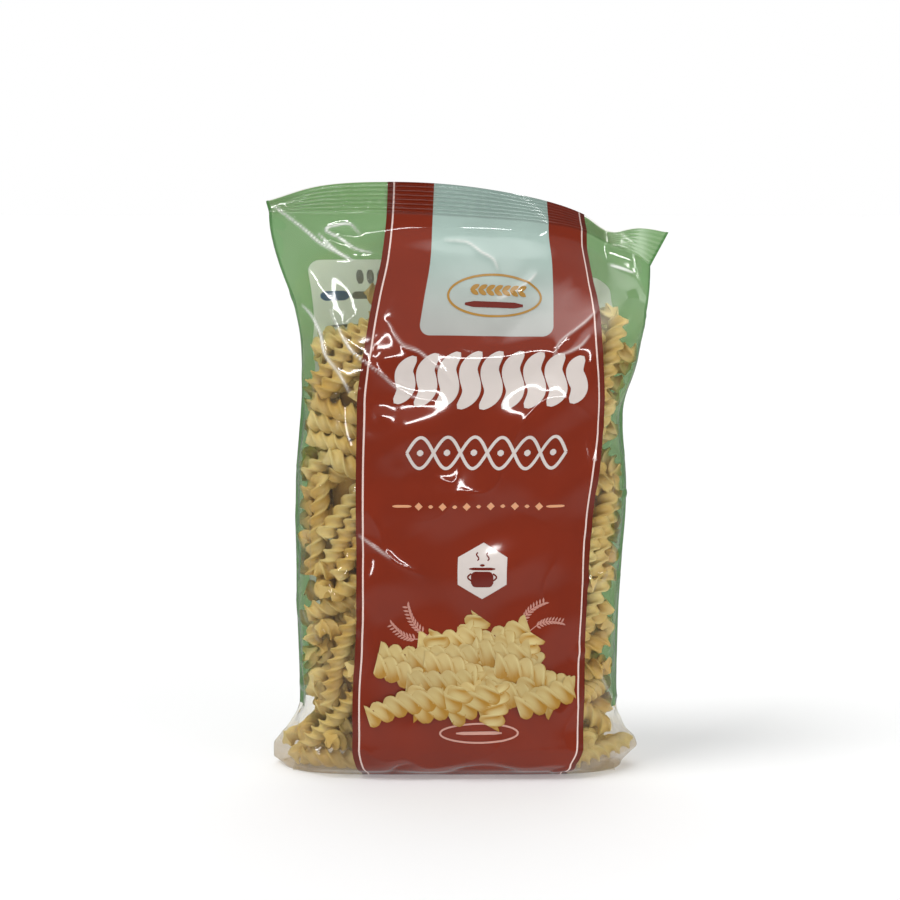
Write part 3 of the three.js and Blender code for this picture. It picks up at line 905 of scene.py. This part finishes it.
def underGloss(tree, body, normal):
    # the film's mirror face over what lies below it, alike from outside and inside
    side = addNode(tree, "ShaderNodeNewGeometry").outputs["Backfacing"]
    ior = addNode(tree, "ShaderNodeMapRange", {
        "Value": side, "To Min": filmGloss["ior"], "To Max": 1 / filmGloss["ior"]})
    edge = addNode(tree, "ShaderNodeFresnel", {"IOR": ior, "Normal": normal})
    gloss = addNode(tree, "ShaderNodeBsdfAnisotropic", {
        "Color": (1, 1, 1, 1), "Roughness": filmGloss["roughness"], "Normal": normal})
    mixed = addNode(tree, "ShaderNodeMixShader", {0: edge, 1: body, 2: gloss})
    addNode(tree, "ShaderNodeOutputMaterial", {"Surface": mixed})


def lightThrough(tree, colour, onward):
    # scatters light back and a share of it onward
    face = addNode(tree, "ShaderNodeBsdfDiffuse", {"Color": colour})
    glow = addNode(tree, "ShaderNodeBsdfTranslucent", {"Color": colour})
    return addNode(tree, "ShaderNodeMixShader", {0: onward, 1: face, 2: glow})


def clearFilmMaterial():
    # unprinted film, folded in layers at the foot, where a beige haze is painted on, standing for the pasta
    # seen and mirrored through the folds
    material, tree = newMaterial("oriented polypropylene film")
    footHaze = addNode(tree, "ShaderNodeAttribute", attribute_name="footHaze").outputs["Fac"]
    share = addNode(tree, "ShaderNodeMapRange", {"Value": footHaze, "To Min": 0.05, "To Max": 0.34})
    through = addNode(tree, "ShaderNodeBsdfTransparent", {"Color": linear("fafaf7")})
    haze = lightThrough(tree, linear("ccb287"), 0.5)
    body = addNode(tree, "ShaderNodeMixShader", {0: share, 1: through, 2: haze})
    # white lines painted along the sharp creases: painted glints
    paintedGlint = addNode(tree, "ShaderNodeAttribute", attribute_name="paintedGlint").outputs["Fac"]
    pale = addNode(tree, "ShaderNodeBsdfDiffuse", {"Color": linear("fafaf7")})
    body = addNode(tree, "ShaderNodeMixShader", {0: paintedGlint, 1: body, 2: pale})
    underGloss(tree, body, stretchWaves(tree))
    return material


def greenFilmMaterial():
    # film printed green on its inner face, with a white printed label: light comes through both, softened
    material, tree = newMaterial("green printed film")
    apart = addNode(tree, "ShaderNodeAttribute", attribute_name="labelDistance").outputs["Fac"]
    share = addNode(tree, "ShaderNodeMapRange", {"Value": apart, "From Min": 0.12, "From Max": -0.12})
    # darker green over the seal, where the film lies doubled, with painted shade and light in stripes along
    # its ribs
    seal = addNode(tree, "ShaderNodeAttribute", attribute_name="sealRibShade").outputs["Fac"]
    shades = addNode(tree, "ShaderNodeMix", {0: seal, 6: linear("7daa72"), 7: linear("629a52")},
                     data_type="RGBA")
    through = addNode(tree, "ShaderNodeBsdfTransparent", {"Color": linear("98c28e")})
    body = lightThrough(tree, shades.outputs[2], 0.5)
    ink = addNode(tree, "ShaderNodeMixShader", {0: 0.28, 1: body, 2: through})
    white = lightThrough(tree, linear("dcecda"), 0.4)
    both = addNode(tree, "ShaderNodeMixShader", {0: share, 1: ink, 2: white})
    underGloss(tree, both, stretchWaves(tree))
    return material


panel = {
    "stripeIn": 3.1, "stripeWide": 0.8, "edgeReach": 10.0, "fieldCorner": 5.0,
    "fieldMiddle": (0.25, 240.0), "fieldHalf": (29.15, 50.0),
    "red": "7d260c", "edgeRed": "69200d", "stripe": "e8cfc6", "field": "acada8", "fieldTop": "a6bcb3",
    "sealShade": "d2d2d2",
}


def inkUnderFilm(tree, colour):
    # opaque ink printed on the film's inner face, a little cloudy, seen through its mirror face
    place = addNode(tree, "ShaderNodeTexCoord").outputs["Object"]
    cloud = addNode(tree, "ShaderNodeTexNoise", {"Vector": place, "Scale": 1 / (30 * mm), "Detail": 2.0})
    shade = addNode(tree, "ShaderNodeMapRange", {
        "Value": cloud, "From Min": 0.3, "From Max": 0.7, "To Min": 0.93, "To Max": 1.07})
    clouded = addNode(tree, "ShaderNodeVectorMath", {0: colour, "Scale": shade}, operation="SCALE")
    body = addNode(tree, "ShaderNodeBsdfDiffuse", {"Color": clouded})
    underGloss(tree, body, stretchWaves(tree))


def panelMaterial():
    # red panel with a dark edge and a pale stripe down each side, and a pale field at its top
    material, tree = newMaterial("reverse-printed film")
    edge = addNode(tree, "ShaderNodeAttribute", attribute_name="edgeShare")
    lines = addNode(tree, "ShaderNodeValToRGB", {"Fac": edge.outputs["Fac"]})
    ramp = lines.color_ramp
    ramp.interpolation = "CONSTANT"
    ramp.elements.new(0.5)
    near, far = (panel["stripeIn"] + side * panel["stripeWide"] / 2 for side in (-1, 1))
    for stop, at, ink in zip(ramp.elements, (0, near, far), ("edgeRed", "stripe", "red")):
        stop.position = at / panel["edgeReach"]
        stop.color = linear(panel[ink])
    apart = addNode(tree, "ShaderNodeAttribute", attribute_name="fieldDistance").outputs["Fac"]
    share = addNode(tree, "ShaderNodeMapRange", {"Value": apart, "From Min": 0.12, "From Max": -0.12})
    rise = addNode(tree, "ShaderNodeAttribute", attribute_name="fieldRise").outputs["Fac"]
    paper = addNode(tree, "ShaderNodeMix", {0: rise, 6: linear(panel["field"]), 7: linear(panel["fieldTop"])},
                    data_type="RGBA")
    both = addNode(tree, "ShaderNodeMix", {0: share, 6: lines, 7: paper.outputs[2]},
                   data_type="RGBA")
    # over the seal the colour is darkened by sealShade: the doubled film, with painted shade and light in
    # stripes along its ribs
    seal = addNode(tree, "ShaderNodeAttribute", attribute_name="sealRibShade").outputs["Fac"]
    pressed = addNode(tree, "ShaderNodeMix", {0: seal, 6: both.outputs[2], 7: linear(panel["sealShade"])},
                      data_type="RGBA", blend_type="MULTIPLY")
    # white lines painted along the sharp creases: painted glints
    paintedGlint = addNode(tree, "ShaderNodeAttribute", attribute_name="paintedGlint").outputs["Fac"]
    share = addNode(tree, "ShaderNodeMapRange", {"Value": paintedGlint, "To Max": 0.6})
    glintPaint = addNode(tree, "ShaderNodeMix", {0: share, 6: pressed.outputs[2], 7: linear("f4ece8")},
                   data_type="RGBA")
    inkUnderFilm(tree, glintPaint.outputs[2])
    return material


def printedShapesMaterial():
    # the print's small shapes, each in its own flat ink
    material, tree = newMaterial("printing ink under film")
    ink = addNode(tree, "ShaderNodeAttribute", attribute_name="ink")
    inkUnderFilm(tree, ink.outputs["Color"])
    return material


# Film pieces: each takes its own columns and rows of the one grid, so that their edges meet

label = {"middle": (5.5, 143.0), "half": (67.0, 77.0), "corner": 6.0}


def roundedDistance(x, y, middle, half, corner):
    # how far a point is outside a rectangle with rounded corners
    dx, dy = np.abs(x - middle[0]) - half[0] + corner, np.abs(y - middle[1]) - half[1] + corner
    return np.hypot(np.maximum(dx, 0), np.maximum(dy, 0)) + np.minimum(np.maximum(dx, dy), 0) - corner


stripEnd, panelEnd = finish["strip"], finish["strip"] + finish["panel"]
backStart = panelEnd + finish["strip"]
rowCount = len(heights) - 1
greenRow = int(np.argmin(np.abs(heights - printArea["greenFoot"])))
columnPlace, heightPlace = np.meshgrid(np.arange(columnCount, dtype=float), heights)
acrossPanel = (columnPlace - stripEnd) / finish["panel"] * 2 * printArea["half"] - printArea["half"]
acrossBack = ((columnPlace - backStart) / finish["back"] - 0.5) * backWidth(heightPlace)
filmValues = {
    "edgeShare": np.clip(printArea["half"] - np.abs(acrossPanel), 0, 9.9) / panel["edgeReach"],
    "fieldDistance": roundedDistance(acrossPanel, heightPlace, panel["fieldMiddle"], panel["fieldHalf"],
                                     panel["fieldCorner"]),
    "labelDistance": roundedDistance(acrossBack, heightPlace, label["middle"], label["half"],
                                     label["corner"]),
    # darker over the seal, with painted shade and light in stripes along its ribs
    "sealRibShade": smoothStep(sealFoot - 0.8, sealFoot + 0.2, heightPlace) * (
        0.55 + 0.45 * np.cos((heightPlace - sealFoot) / bag["sealTall"] * bag["sealRibs"] * 2 * np.pi)),
    # painted glints along the sharp creases
    "paintedGlint": paintedGlints,
    "fieldRise": smoothStep(190, 232, heightPlace),
    # a beige haze at the foot: the painted look of the pasta seen and mirrored through the folded film
    "footHaze": 1 - smoothStep(5, 22, heightPlace),
}


def gridFaces(rowFrom, rowTo, columnFrom, columnTo):
    # quads between grid rows and columns; columns wrap round
    row, column = np.meshgrid(np.arange(rowFrom, rowTo), np.arange(columnFrom, columnTo), indexing="ij")
    after = (column + 1) % columnCount
    column = column % columnCount
    return np.stack([row * columnCount + column, row * columnCount + after, (row + 1) * columnCount + after,
                     (row + 1) * columnCount + column], -1).reshape(-1, 4)


def gridPiece(name, faces, material, valueNames):
    used = np.unique(faces)
    remap = np.full(filmPoints.shape[0] * columnCount, -1)
    remap[used] = np.arange(len(used))
    piece = meshPiece(name, filmPoints.reshape(-1, 3)[used], remap[faces])
    giveValues(piece, {valueName: filmValues[valueName].ravel()[used] for valueName in valueNames})
    piece.data.materials.append(material)
    return piece


clearFilm, greenFilm = clearFilmMaterial(), greenFilmMaterial()
front = gridPiece("film_front", gridFaces(0, rowCount, stripEnd, panelEnd), panelMaterial(),
                  ("edgeShare", "fieldDistance", "sealRibShade", "fieldRise", "paintedGlint"))
green = gridPiece("film_back", gridFaces(greenRow, rowCount, backStart, columnCount), greenFilm,
                  ("labelDistance", "sealRibShade"))
clearFaces = np.concatenate([
    gridFaces(0, rowCount, 0, stripEnd), gridFaces(0, rowCount, panelEnd, backStart),
    gridFaces(0, greenRow, backStart, columnCount)])
clear = gridPiece("film_clear", clearFaces, clearFilm, ("footHaze", "paintedGlint"))
print("film: pieces made,", [len(piece.data.polygons) * 2 for piece in (front, green, clear)], "triangles")

# The print's small shapes: bands of colour laid a tenth of a millimetre over the panel's ink

inks = {"pale": "d6ccc6", "blush": "d29f90", "rose": "c2897b", "cream": "dfa077", "gold": "a67c36",
        "wine": "6b1d11", "slate": "8c9896", "blue": "5178a0"}
prints = {"lift": 0.12, "grain": 0.8}


def band(shapes, line, width, ink, lift=0.0):
    # a band along a line on the print; line and width are functions of t from 0 to 1
    length = np.linalg.norm(np.diff(np.stack(line(np.linspace(0, 1, 60)), -1), axis=0), axis=-1).sum()
    t = np.linspace(0, 1, max(4, int(length / prints["grain"]) + 1))
    points = np.stack(line(t), -1) + np.zeros((len(t), 2))
    way = np.gradient(points, axis=0)
    way /= np.maximum(np.linalg.norm(way, axis=-1, keepdims=True), 1e-9)
    wide = np.maximum(width(t) if callable(width) else np.full(len(t), float(width)), 0.02)
    across = np.linspace(-0.5, 0.5, max(2, int(wide.max() / prints["grain"]) + 2))
    side = np.stack([-way[:, 1], way[:, 0]], -1)
    spread = points[:, None] + side[:, None] * (wide[:, None] * across)[..., None]
    shapes.append((spread, linear(inks[ink]), lift))


def bar(shapes, u, h, long, tall, ink, lift=0.0):
    # a level bar with slightly rounded ends
    band(shapes, lambda t: (u + long * (t - 0.5), h + 0 * t),
         lambda t: tall * np.minimum(1, 0.4 + 4 * np.minimum(t, 1 - t)), ink, lift)


def leaf(shapes, u, h, angle, long, wide, ink, lift=0.0):
    # a pointed leaf from its stem end, angle in degrees from level
    c, s = math.cos(math.radians(angle)) * long, math.sin(math.radians(angle)) * long
    band(shapes, lambda t: (u + c * t, h + s * t), lambda t: wide * np.sin(np.pi * t) ** 0.7, ink, lift)


def oval(shapes, u, h, wide, tall, line, ink, lift=0.0):
    band(shapes, lambda t: (u + wide / 2 * np.cos(2 * np.pi * t), h + tall / 2 * np.sin(2 * np.pi * t)),
         line, ink, lift)


def wheatEar(shapes, u, h, lean, long, ink):
    # a bowed stem with its grains in pairs
    c, s = math.cos(math.radians(lean)), math.sin(math.radians(lean))
    bow = long * 0.16

    def stem(t):
        rise = bow * np.sin(np.pi * t)
        return u + c * long * t - s * rise, h + s * long * t + c * rise

    band(shapes, stem, 0.4, ink)
    for n in range(9):
        x, y = stem(0.28 + 0.68 * n / 8)
        for side in (-1, 1):
            leaf(shapes, x, y, lean + side * 42, long * 0.15, long * 0.05, ink)


def twistOrnament(shapes, u, h, long, tall, count, ink):
    # slanted blades in a row, like those of one great spiral
    for n in range(count):
        x = u - long / 2 + long * (n + 0.5) / count
        size = tall * (0.70 + 0.30 * math.sin(math.pi * (n + 0.5) / count) ** 0.6)
        lean = size * 0.42
        bow = size * 0.11
        band(shapes, lambda t: (x + lean * (t - 0.5) + bow * np.sin(2 * np.pi * t), h + size * (t - 0.5)),
             lambda t: long / count * 0.92 * np.sin(np.pi * t) ** 0.45, ink)


def drawFront():
    shapes = []
    twistOrnament(shapes, 3.0, 171.5, 80, 24, 9, "pale")
    # two thin waves that cross, with a bead in each loop
    for n, phase in enumerate((0, np.pi)):
        band(shapes, lambda t: (2.5 + 66 * (t - 0.5), 141.2 + 6.6 * np.sin(6 * np.pi * t + phase)),
             1.3, "pale", 0.03 * n)
    for n in range(6):
        bar(shapes, 2.5 + 66 * ((n + 0.5) / 6 - 0.5), 141.2, 2.6, 2.6, "pale")
    # a row of small lozenges between two dashes
    for n in range(13):
        x = 0.6 + 5.1 * (n - 6)
        size = 3.4 if n % 2 else 2.2
        if n in (0, 12):
            bar(shapes, x - 2 if n == 0 else x + 2, 118.7, 8, 1.1, "cream")
        else:
            band(shapes, lambda t: (x + size * (t - 0.5), 118.7 + 0 * t),
                 lambda t: size * (1 - np.abs(2 * t - 1)), "cream")
    # a pointed hexagon with a covered pot
    middle, halfWide, halfTall, over = 3.6, 10.6, 11.85, 0.06
    band(shapes, lambda t: (middle + halfWide * (2 * t - 1), 91.6 + 0 * t),
         lambda t: 2 * (halfTall - halfWide * np.abs(2 * t - 1) * math.tan(math.pi / 6)), "pale")
    band(shapes, lambda t: (middle + 9.6 * (t - 0.5), 88.2 + 0 * t),
         lambda t: 6.6 * (1 - (2 * t - 1) ** 8 * 0.5), "wine", over)
    bar(shapes, middle, 92.6, 11.2, 1.1, "wine", over)
    bar(shapes, middle, 94.1, 2.0, 1.0, "wine", over)
    for side in (-1, 1):
        band(shapes, lambda t: (middle + side * (4.6 + 1.6 * np.sin(np.pi * t)), 87.6 + 3 * t),
             0.7, "wine", over)
        band(shapes, lambda t: (middle + side * 2.2 + 0.6 * np.sin(2 * np.pi * t), 96 + 3.4 * t),
             0.6, "wine", over)
    for u, h, lean, long in ((-17, 63, 131, 18), (-20, 63, 160, 17), (20, 65, 48, 17), (24, 65, 14, 16)):
        wheatEar(shapes, u, h, lean, long, "rose")
    # below the heap: a thin oval frame with a bar in it
    oval(shapes, 4.0, 21.4, 34, 8.6, 0.8, "blush")
    bar(shapes, 4.0, 21.4, 20, 1.5, "blush")
    # on the pale field: a gold ring round a lying ear, over a wine bar
    oval(shapes, 2.5, 207.5, 42, 18, 1.0, "gold")
    bar(shapes, 2.5, 203.6, 26, 2.6, "wine")
    for n in range(7):
        for side in (-1, 1):
            leaf(shapes, -9.0 + 3.6 * n, 209.9, 28 * side, 4.6, 2.1, "gold", 0.02)
    return shapes


def drawLabel():
    # plain bars where the label has its information
    shapes = []
    rng = np.random.default_rng(4)
    for n in range(3):
        bar(shapes, 50 - 4.6 * n, 212, 3.2, 6.4, "slate")
    bar(shapes, 62, 203.5, 13, 4.4, "blue")
    bar(shapes, 50, 203.5, 8, 3.4, "slate")
    for side in (-1, 1):
        for n in range(24):
            if n % 6 == 5:
                continue
            long = 42 * (rng.uniform(0.45, 0.7) if n % 6 == 4 else rng.uniform(0.93, 1.0))
            bar(shapes, label["middle"][0] + side * 37 + 21 - long / 2, 190 - 4.9 * n, long, 1.3, "slate")
    return shapes


def printPiece(name, shapes, lift, back=False):
    vertices, faces, colours, count = [], [], [], 0
    for spread, colour, higher in shapes:
        n, m = spread.shape[:2]
        out = lift + math.copysign(higher, lift)
        vertices.append(onFilm(spread[..., 0], spread[..., 1], out, back).reshape(-1, 3))
        colours.append(np.tile(colour, (n * m, 1)))
        quads = stripFaces(n, m)
        a, b, c = (spread.reshape(-1, 2)[quads[:, k]] for k in range(3))
        turned = ((b - a)[:, 0] * (c - a)[:, 1] - (b - a)[:, 1] * (c - a)[:, 0]).sum() * lift < 0
        faces.append((quads[:, ::-1] if turned else quads) + count)
        count += n * m
    return inkedPiece(name, vertices, np.concatenate(faces), colours)


def inkedPiece(name, vertices, faces, colours):
    piece = meshPiece(name, np.concatenate(vertices), faces)
    attribute = piece.data.color_attributes.new("ink", "FLOAT_COLOR", "POINT")
    attribute.data.foreach_set("color", np.concatenate(colours).ravel())
    piece.data.materials.append(printedInk)
    return piece


def stripFaces(rows, columns):
    index = np.arange(rows * columns).reshape(rows, columns)
    return np.stack([index[:-1, :-1], index[:-1, 1:], index[1:, 1:], index[1:, :-1]], -1).reshape(-1, 4)


pile = {"levels": ((36.0, 9, 35.0), (46.0, 9, 35.0), (56.0, 8, 30.0), (64.0, 4, 16.0)), "seed": 8,
        "thick": 1.25, "apart": 14.0, "flat": 0.0022, "halfLength": (12.5, 15.5), "shade": "ad7f2f",
        "light": "ded39a", "half": 43.0, "most": 47.0}


def printedPile():
    # a printed heap of fusilli: twisted pieces shaded as a drawing is, laid flat in layers on the film
    rng = np.random.default_rng(pile["seed"])
    t = np.linspace(-1, 1, 25)
    vertices, faces, colours, count, layer = [], [], [], 0, 0
    for rise, number, half in reversed(pile["levels"]):
        for n in rng.permutation(number):
            u = 1.0 + half * (2 * (n + 0.5) / number - 1) + rng.uniform(-2, 2)
            angle = rng.uniform(-0.8, 0.8) + (np.pi / 2 if rng.random() < 0.2 else 0)
            long = rng.uniform(*pile["halfLength"])
            long = min(long, (pile["half"] - abs(u)) / max(abs(math.cos(angle)), 0.3) + 4)
            bend = rng.uniform(-3, 3) * (1 - t * t)
            c, s = math.cos(angle), math.sin(angle)
            line = np.stack([u + c * long * t - s * bend, 0 * t,
                             rise + rng.uniform(-2.5, 2.5) + s * long * t * 0.7 + c * bend], -1)
            twist = rng.uniform(0, 6.28) + t * long / 10.0 * np.pi
            size = np.full(len(t), pile["thick"] * rng.uniform(0.92, 1.05))
            single = twistPasta("spiral", line[None], twist[None], size[None], printedInk)
            co, normal = vertexValues(single, "co") / mm, vertexValues(single, "normal")
            seen = [tuple(p.vertices) for p in single.data.polygons if p.normal.y < -0.05]
            bpy.data.objects.remove(single)
            shade = np.clip(normal @ np.array([-0.35, -0.70, 0.62]), 0, 1)[:, None]
            groove = np.clip(1.15 - np.abs(co[:, 1]) / 6, 0, 1)[:, None]
            light = shade**0.8 * (1 - 0.45 * groove)
            dark, pale = np.array(linear(pile["shade"])), np.array(linear(pile["light"]))
            colour = ((1 - light) * dark + light * pale) * rng.uniform(0.90, 1.04)
            colour[:, 3] = 1
            out = prints["lift"] + (pile["apart"] * (layer + 0.5) - co[:, 1]) * pile["flat"]
            vertices.append(onFilm(np.clip(co[:, 0], -pile["most"], pile["most"]), co[:, 2], out))
            faces += [tuple(v + count for v in face) for face in seen]
            colours.append(colour)
            count += len(co)
            layer += 1
    return inkedPiece("print_pile", vertices, faces, colours)


printedInk = printedShapesMaterial()
motifs = printPiece("print_motifs", drawFront(), prints["lift"])
labelOutside = printPiece("label_bars_outside", drawLabel(), prints["lift"], True)
labelInside = printPiece("label_bars_inside", drawLabel(), -prints["lift"], True)
pilePrint = printedPile()
print("print: shapes made,", [len(p.data.polygons) for p in (motifs, labelOutside, pilePrint)], "faces")

# The seam down the back, with its free edge slightly lifted, and the foot seal folded under the bag

seam = {"foot": 12.0, "top": 238.0, "half": 6.0, "side": 3.0, "lift": 0.35, "curl": 1.0, "row": 1.5}


def backSeam():
    height, share = np.meshgrid(np.arange(seam["foot"], seam["top"], seam["row"]), np.linspace(-1, 1, 9),
                                indexing="ij")
    wave = 0.6 + 0.4 * np.sin(height / 9.0) * np.sin(height / 23.0 + 1)
    out = seam["lift"] + seam["curl"] * ((share + 1) / 2) ** 3 * wave
    points = onFilm(share * seam["half"] - seam["side"], height, out, back=True)
    piece = meshPiece("back_seam", points.reshape(-1, 3), stripFaces(*share.shape))
    # the seam takes half of the seal's painted rib shade
    giveValues(piece, {"labelDistance": 50.0, "sealRibShade": 0.5})
    piece.data.materials.append(greenFilm)
    return piece


footSeal = {"left": -76.0, "right": 63.0, "from": -1.0, "tall": 13.0, "ribs": 7, "rise": 0.75,
            "ribDepth": 0.3}


def footSealPiece(name, left, right, material, values):
    # a ribbed band that lies flat under the bag, turned towards the front
    x, t = np.meshgrid(np.linspace(left, right, max(3, int((right - left) / 2))), np.linspace(0, 1, 57))
    y = shift[1] + footSeal["from"] - t * footSeal["tall"] + 0.5 * np.sin(x / 19)
    z = footSeal["rise"] + footSeal["ribDepth"] * np.cos(t * footSeal["ribs"] * 2 * np.pi) - 0.3 * t
    piece = meshPiece(name, np.stack([x, y, z], -1).reshape(-1, 3), stripFaces(*x.shape))
    giveValues(piece, values)
    piece.data.materials.append(material)
    return piece


seamPiece = backSeam()
redFilm = front.data.materials[0]
footLeft, footRight = (keyed(printArea[line], 0) + shift[0] for line in ("leftLine", "rightLine"))
footPieces = [
    # the printed foot seal takes the seal's full painted rib shade
    footSealPiece("foot_seal_printed", footLeft, footRight, redFilm,
                  {"edgeShare": 0.9, "fieldDistance": 50.0, "sealRibShade": 1.0, "fieldRise": 0.0}),
    # the clear foot seals take half of the foot's painted beige haze
    footSealPiece("foot_seal_left", footSeal["left"], footLeft, clearFilm, {"footHaze": 0.5}),
    footSealPiece("foot_seal_right", footRight, footSeal["right"], clearFilm, {"footHaze": 0.5}),
]
print("seams: made")

# The core that the pasta lies round, coloured darker as painted shade

core = {"inset": 16.5, "foot": 14.0, "top": 186.0, "sidesFrom": 26.0, "rows": 26, "columns": 48}


def coreMesh():
    around = np.linspace(0, 2 * np.pi, core["columns"], endpoint=False)
    c, s = np.cos(around), np.sin(around)
    rings = []
    for z in np.linspace(core["foot"], core["top"], core["rows"]):
        left = keyed(leftEdge, max(z, core["sidesFrom"])) + core["inset"]
        right = keyed(rightEdge, max(z, core["sidesFrom"])) - core["inset"]
        depth = keyed(halfDepth, z) - core["inset"]
        x = (left + right) / 2 + (right - left) / 2 * np.sign(c) * np.abs(c) ** 0.6
        y = depth * np.sign(s) * np.abs(s) ** 0.7
        top = keyed(pasta["heapTop"], x) - core["inset"]
        rings.append(np.stack([x, y, np.minimum(z, top)], -1) + [shift[0], shift[1], 0])
    points = np.concatenate(rings + [rings[0].mean(0)[None], rings[-1].mean(0)[None]])
    n, last = core["columns"], core["rows"] - 1
    faces = [(r * n + i, r * n + (i + 1) % n, (r + 1) * n + (i + 1) % n, (r + 1) * n + i)
             for r in range(last) for i in range(n)]
    foot, top = len(points) - 2, len(points) - 1
    faces += [(foot, (i + 1) % n, i) for i in range(n)]
    faces += [(top, last * n + i, last * n + (i + 1) % n) for i in range(n)]
    return meshPiece("pasta_core", points, faces)


def paintedShadeCoreMaterial():
    # the same dough, seen only in the gaps between the outer pieces, mottled down to a darker brown: painted
    # shade deep in the heap
    material, tree = newMaterial("durum wheat in painted shade")
    place = addNode(tree, "ShaderNodeTexCoord").outputs["Object"]
    patches = addNode(tree, "ShaderNodeTexNoise", {"Vector": place, "Scale": 1 / (9 * mm), "Detail": 2.0})
    shades = addNode(tree, "ShaderNodeValToRGB", {"Fac": patches})
    shades.color_ramp.elements[0].color = linear("8a6426")
    shades.color_ramp.elements[1].color = linear("d8b05a")
    surface = addNode(tree, "ShaderNodeBsdfPrincipled", {"Base Color": shades, "Roughness": 0.7})
    addNode(tree, "ShaderNodeOutputMaterial", {"Surface": surface})
    return material


pastaCore = coreMesh()
pastaCore.data.materials.append(paintedShadeCoreMaterial())

for piece, slotName in (
    (front, "printed_film"), (green, "printed_film"), (clear, "clear_film"), (fusilli, "dry_pasta"),
    (pastaCore, "dry_pasta"), (motifs, "printed_film"), (pilePrint, "printed_film"),
    (labelOutside, "printed_film"), (labelInside, "printed_film"), (seamPiece, "printed_film"),
    (footPieces[0], "printed_film"), (footPieces[1], "clear_film"), (footPieces[2], "clear_film"),
):
    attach(piece, "root")
    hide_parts("film_bag")

# Floor, world and lights

studio = {
    "floor": 12.0, "floorColour": "dedede", "floorGlow": 0.18, "worldSeen": 1.0, "worldLight": 0.36,
    "worldLevel": 0.26, "worldHigh": 0.6, "levelReach": (0.12, 0.42),
    "ceilingLights": 2.6, "ceilingReach": (0.75, 0.90),
}
half = studio["floor"] / 2
corners = np.array([(-half, -half, 0), (half, -half, 0), (half, half, 0), (-half, half, 0)]) / mm
floor = meshPiece("floor", corners, [(0, 1, 2, 3)], smooth=False)
floorMaterial, tree = newMaterial("pale floor")
floorSurface = addNode(tree, "ShaderNodeBsdfPrincipled", {
    "Base Color": linear(studio["floorColour"]), "Roughness": 0.9, "Specular IOR Level": 0.0,
    "Emission Color": (1, 1, 1, 1), "Emission Strength": studio["floorGlow"]})
addNode(tree, "ShaderNodeOutputMaterial", {"Surface": floorSurface})
floor.data.materials.append(floorMaterial)
floor.visible_glossy = False

# a pale room: dim at eye level, where the film mirrors it head on, and bright above and below
world = bpy.data.worlds.new("pale room")
scene.world = world
world.use_nodes = True
tree = world.node_tree
tree.nodes.clear()
wayOut = addNode(tree, "ShaderNodeTexCoord").outputs["Generated"]
parts = addNode(tree, "ShaderNodeSeparateXYZ", {"Vector": wayOut})
slant = addNode(tree, "ShaderNodeMath", {0: parts.outputs["Z"]}, operation="ABSOLUTE")
strength = addNode(tree, "ShaderNodeMapRange", {
    "Value": slant, "From Min": studio["levelReach"][0], "From Max": studio["levelReach"][1],
    "To Min": studio["worldLevel"], "To Max": studio["worldHigh"]}, interpolation_type="SMOOTHSTEP")
seen = addNode(tree, "ShaderNodeBackground", {"Color": (1, 1, 1, 1), "Strength": studio["worldSeen"]})
lit = addNode(tree, "ShaderNodeBackground", {"Color": (1, 1, 1, 1), "Strength": studio["worldLight"]})
lamps = addNode(tree, "ShaderNodeMapRange", {
    "Value": parts.outputs["Z"], "From Min": studio["ceilingReach"][0],
    "From Max": studio["ceilingReach"][1], "To Min": 0.0, "To Max": studio["ceilingLights"]},
    interpolation_type="SMOOTHSTEP")
mirrored = addNode(tree, "ShaderNodeMath", {0: strength, 1: lamps}, operation="ADD")
glossy = addNode(tree, "ShaderNodeBackground", {"Color": (1, 1, 1, 1), "Strength": mirrored})
ray = addNode(tree, "ShaderNodeLightPath").outputs
room = addNode(tree, "ShaderNodeMixShader", {0: ray["Is Glossy Ray"], 1: lit, 2: glossy})
mixed = addNode(tree, "ShaderNodeMixShader", {0: ray["Is Camera Ray"], 1: room, 2: seen})
addNode(tree, "ShaderNodeOutputWorld", {"Surface": mixed})


def addLamp(name, kind, aim, energy):
    light = bpy.data.lights.new(name, kind)
    light.energy = energy
    lamp = bpy.data.objects.new(name, light)
    lamp.rotation_euler = Vector(aim).to_track_quat("-Z", "Y").to_euler()
    scene.collection.objects.link(lamp)
    return lamp


# soft light from far off, which lights the floor evenly; the film doesn't mirror it
for name, aim, energy, spread in (
    ("key", (0.5, 0.28, -1.0), 1.6, 24), ("ceiling", (0.0, -0.55, -1.0), 0.95, 46),
    ("fill", (-0.8, 1.0, -0.25), 0.92, 60), ("side", (-1.0, 0.25, -0.15), 0.7, 70),
):
    lamp = addLamp(name, "SUN", aim, energy)
    lamp.data.angle = math.radians(spread)
    lamp.visible_glossy = False

# bright tubes that only the film's creases mirror
target = Vector((0, 0, 0.13))
for name, place, wide, tall, energy in (
    ("tube across", (0.0, -1.25, 0.52), 1.1, 0.05, 6), ("tube high", (-0.55, -1.0, 0.95), 0.6, 0.04, 3),
    ("tube left", (-0.80, -1.05, 0.5), 0.05, 0.7, 3), ("tube right", (0.95, -0.95, 0.6), 0.05, 0.6, 3),
):
    lamp = addLamp(name, "AREA", target - Vector(place), energy)
    lamp.data.shape = "RECTANGLE"
    lamp.data.size, lamp.data.size_y = wide, tall
    lamp.location = place
    lamp.visible_diffuse = False
scene.view_settings.view_transform = "Standard"

print("scene: finished")
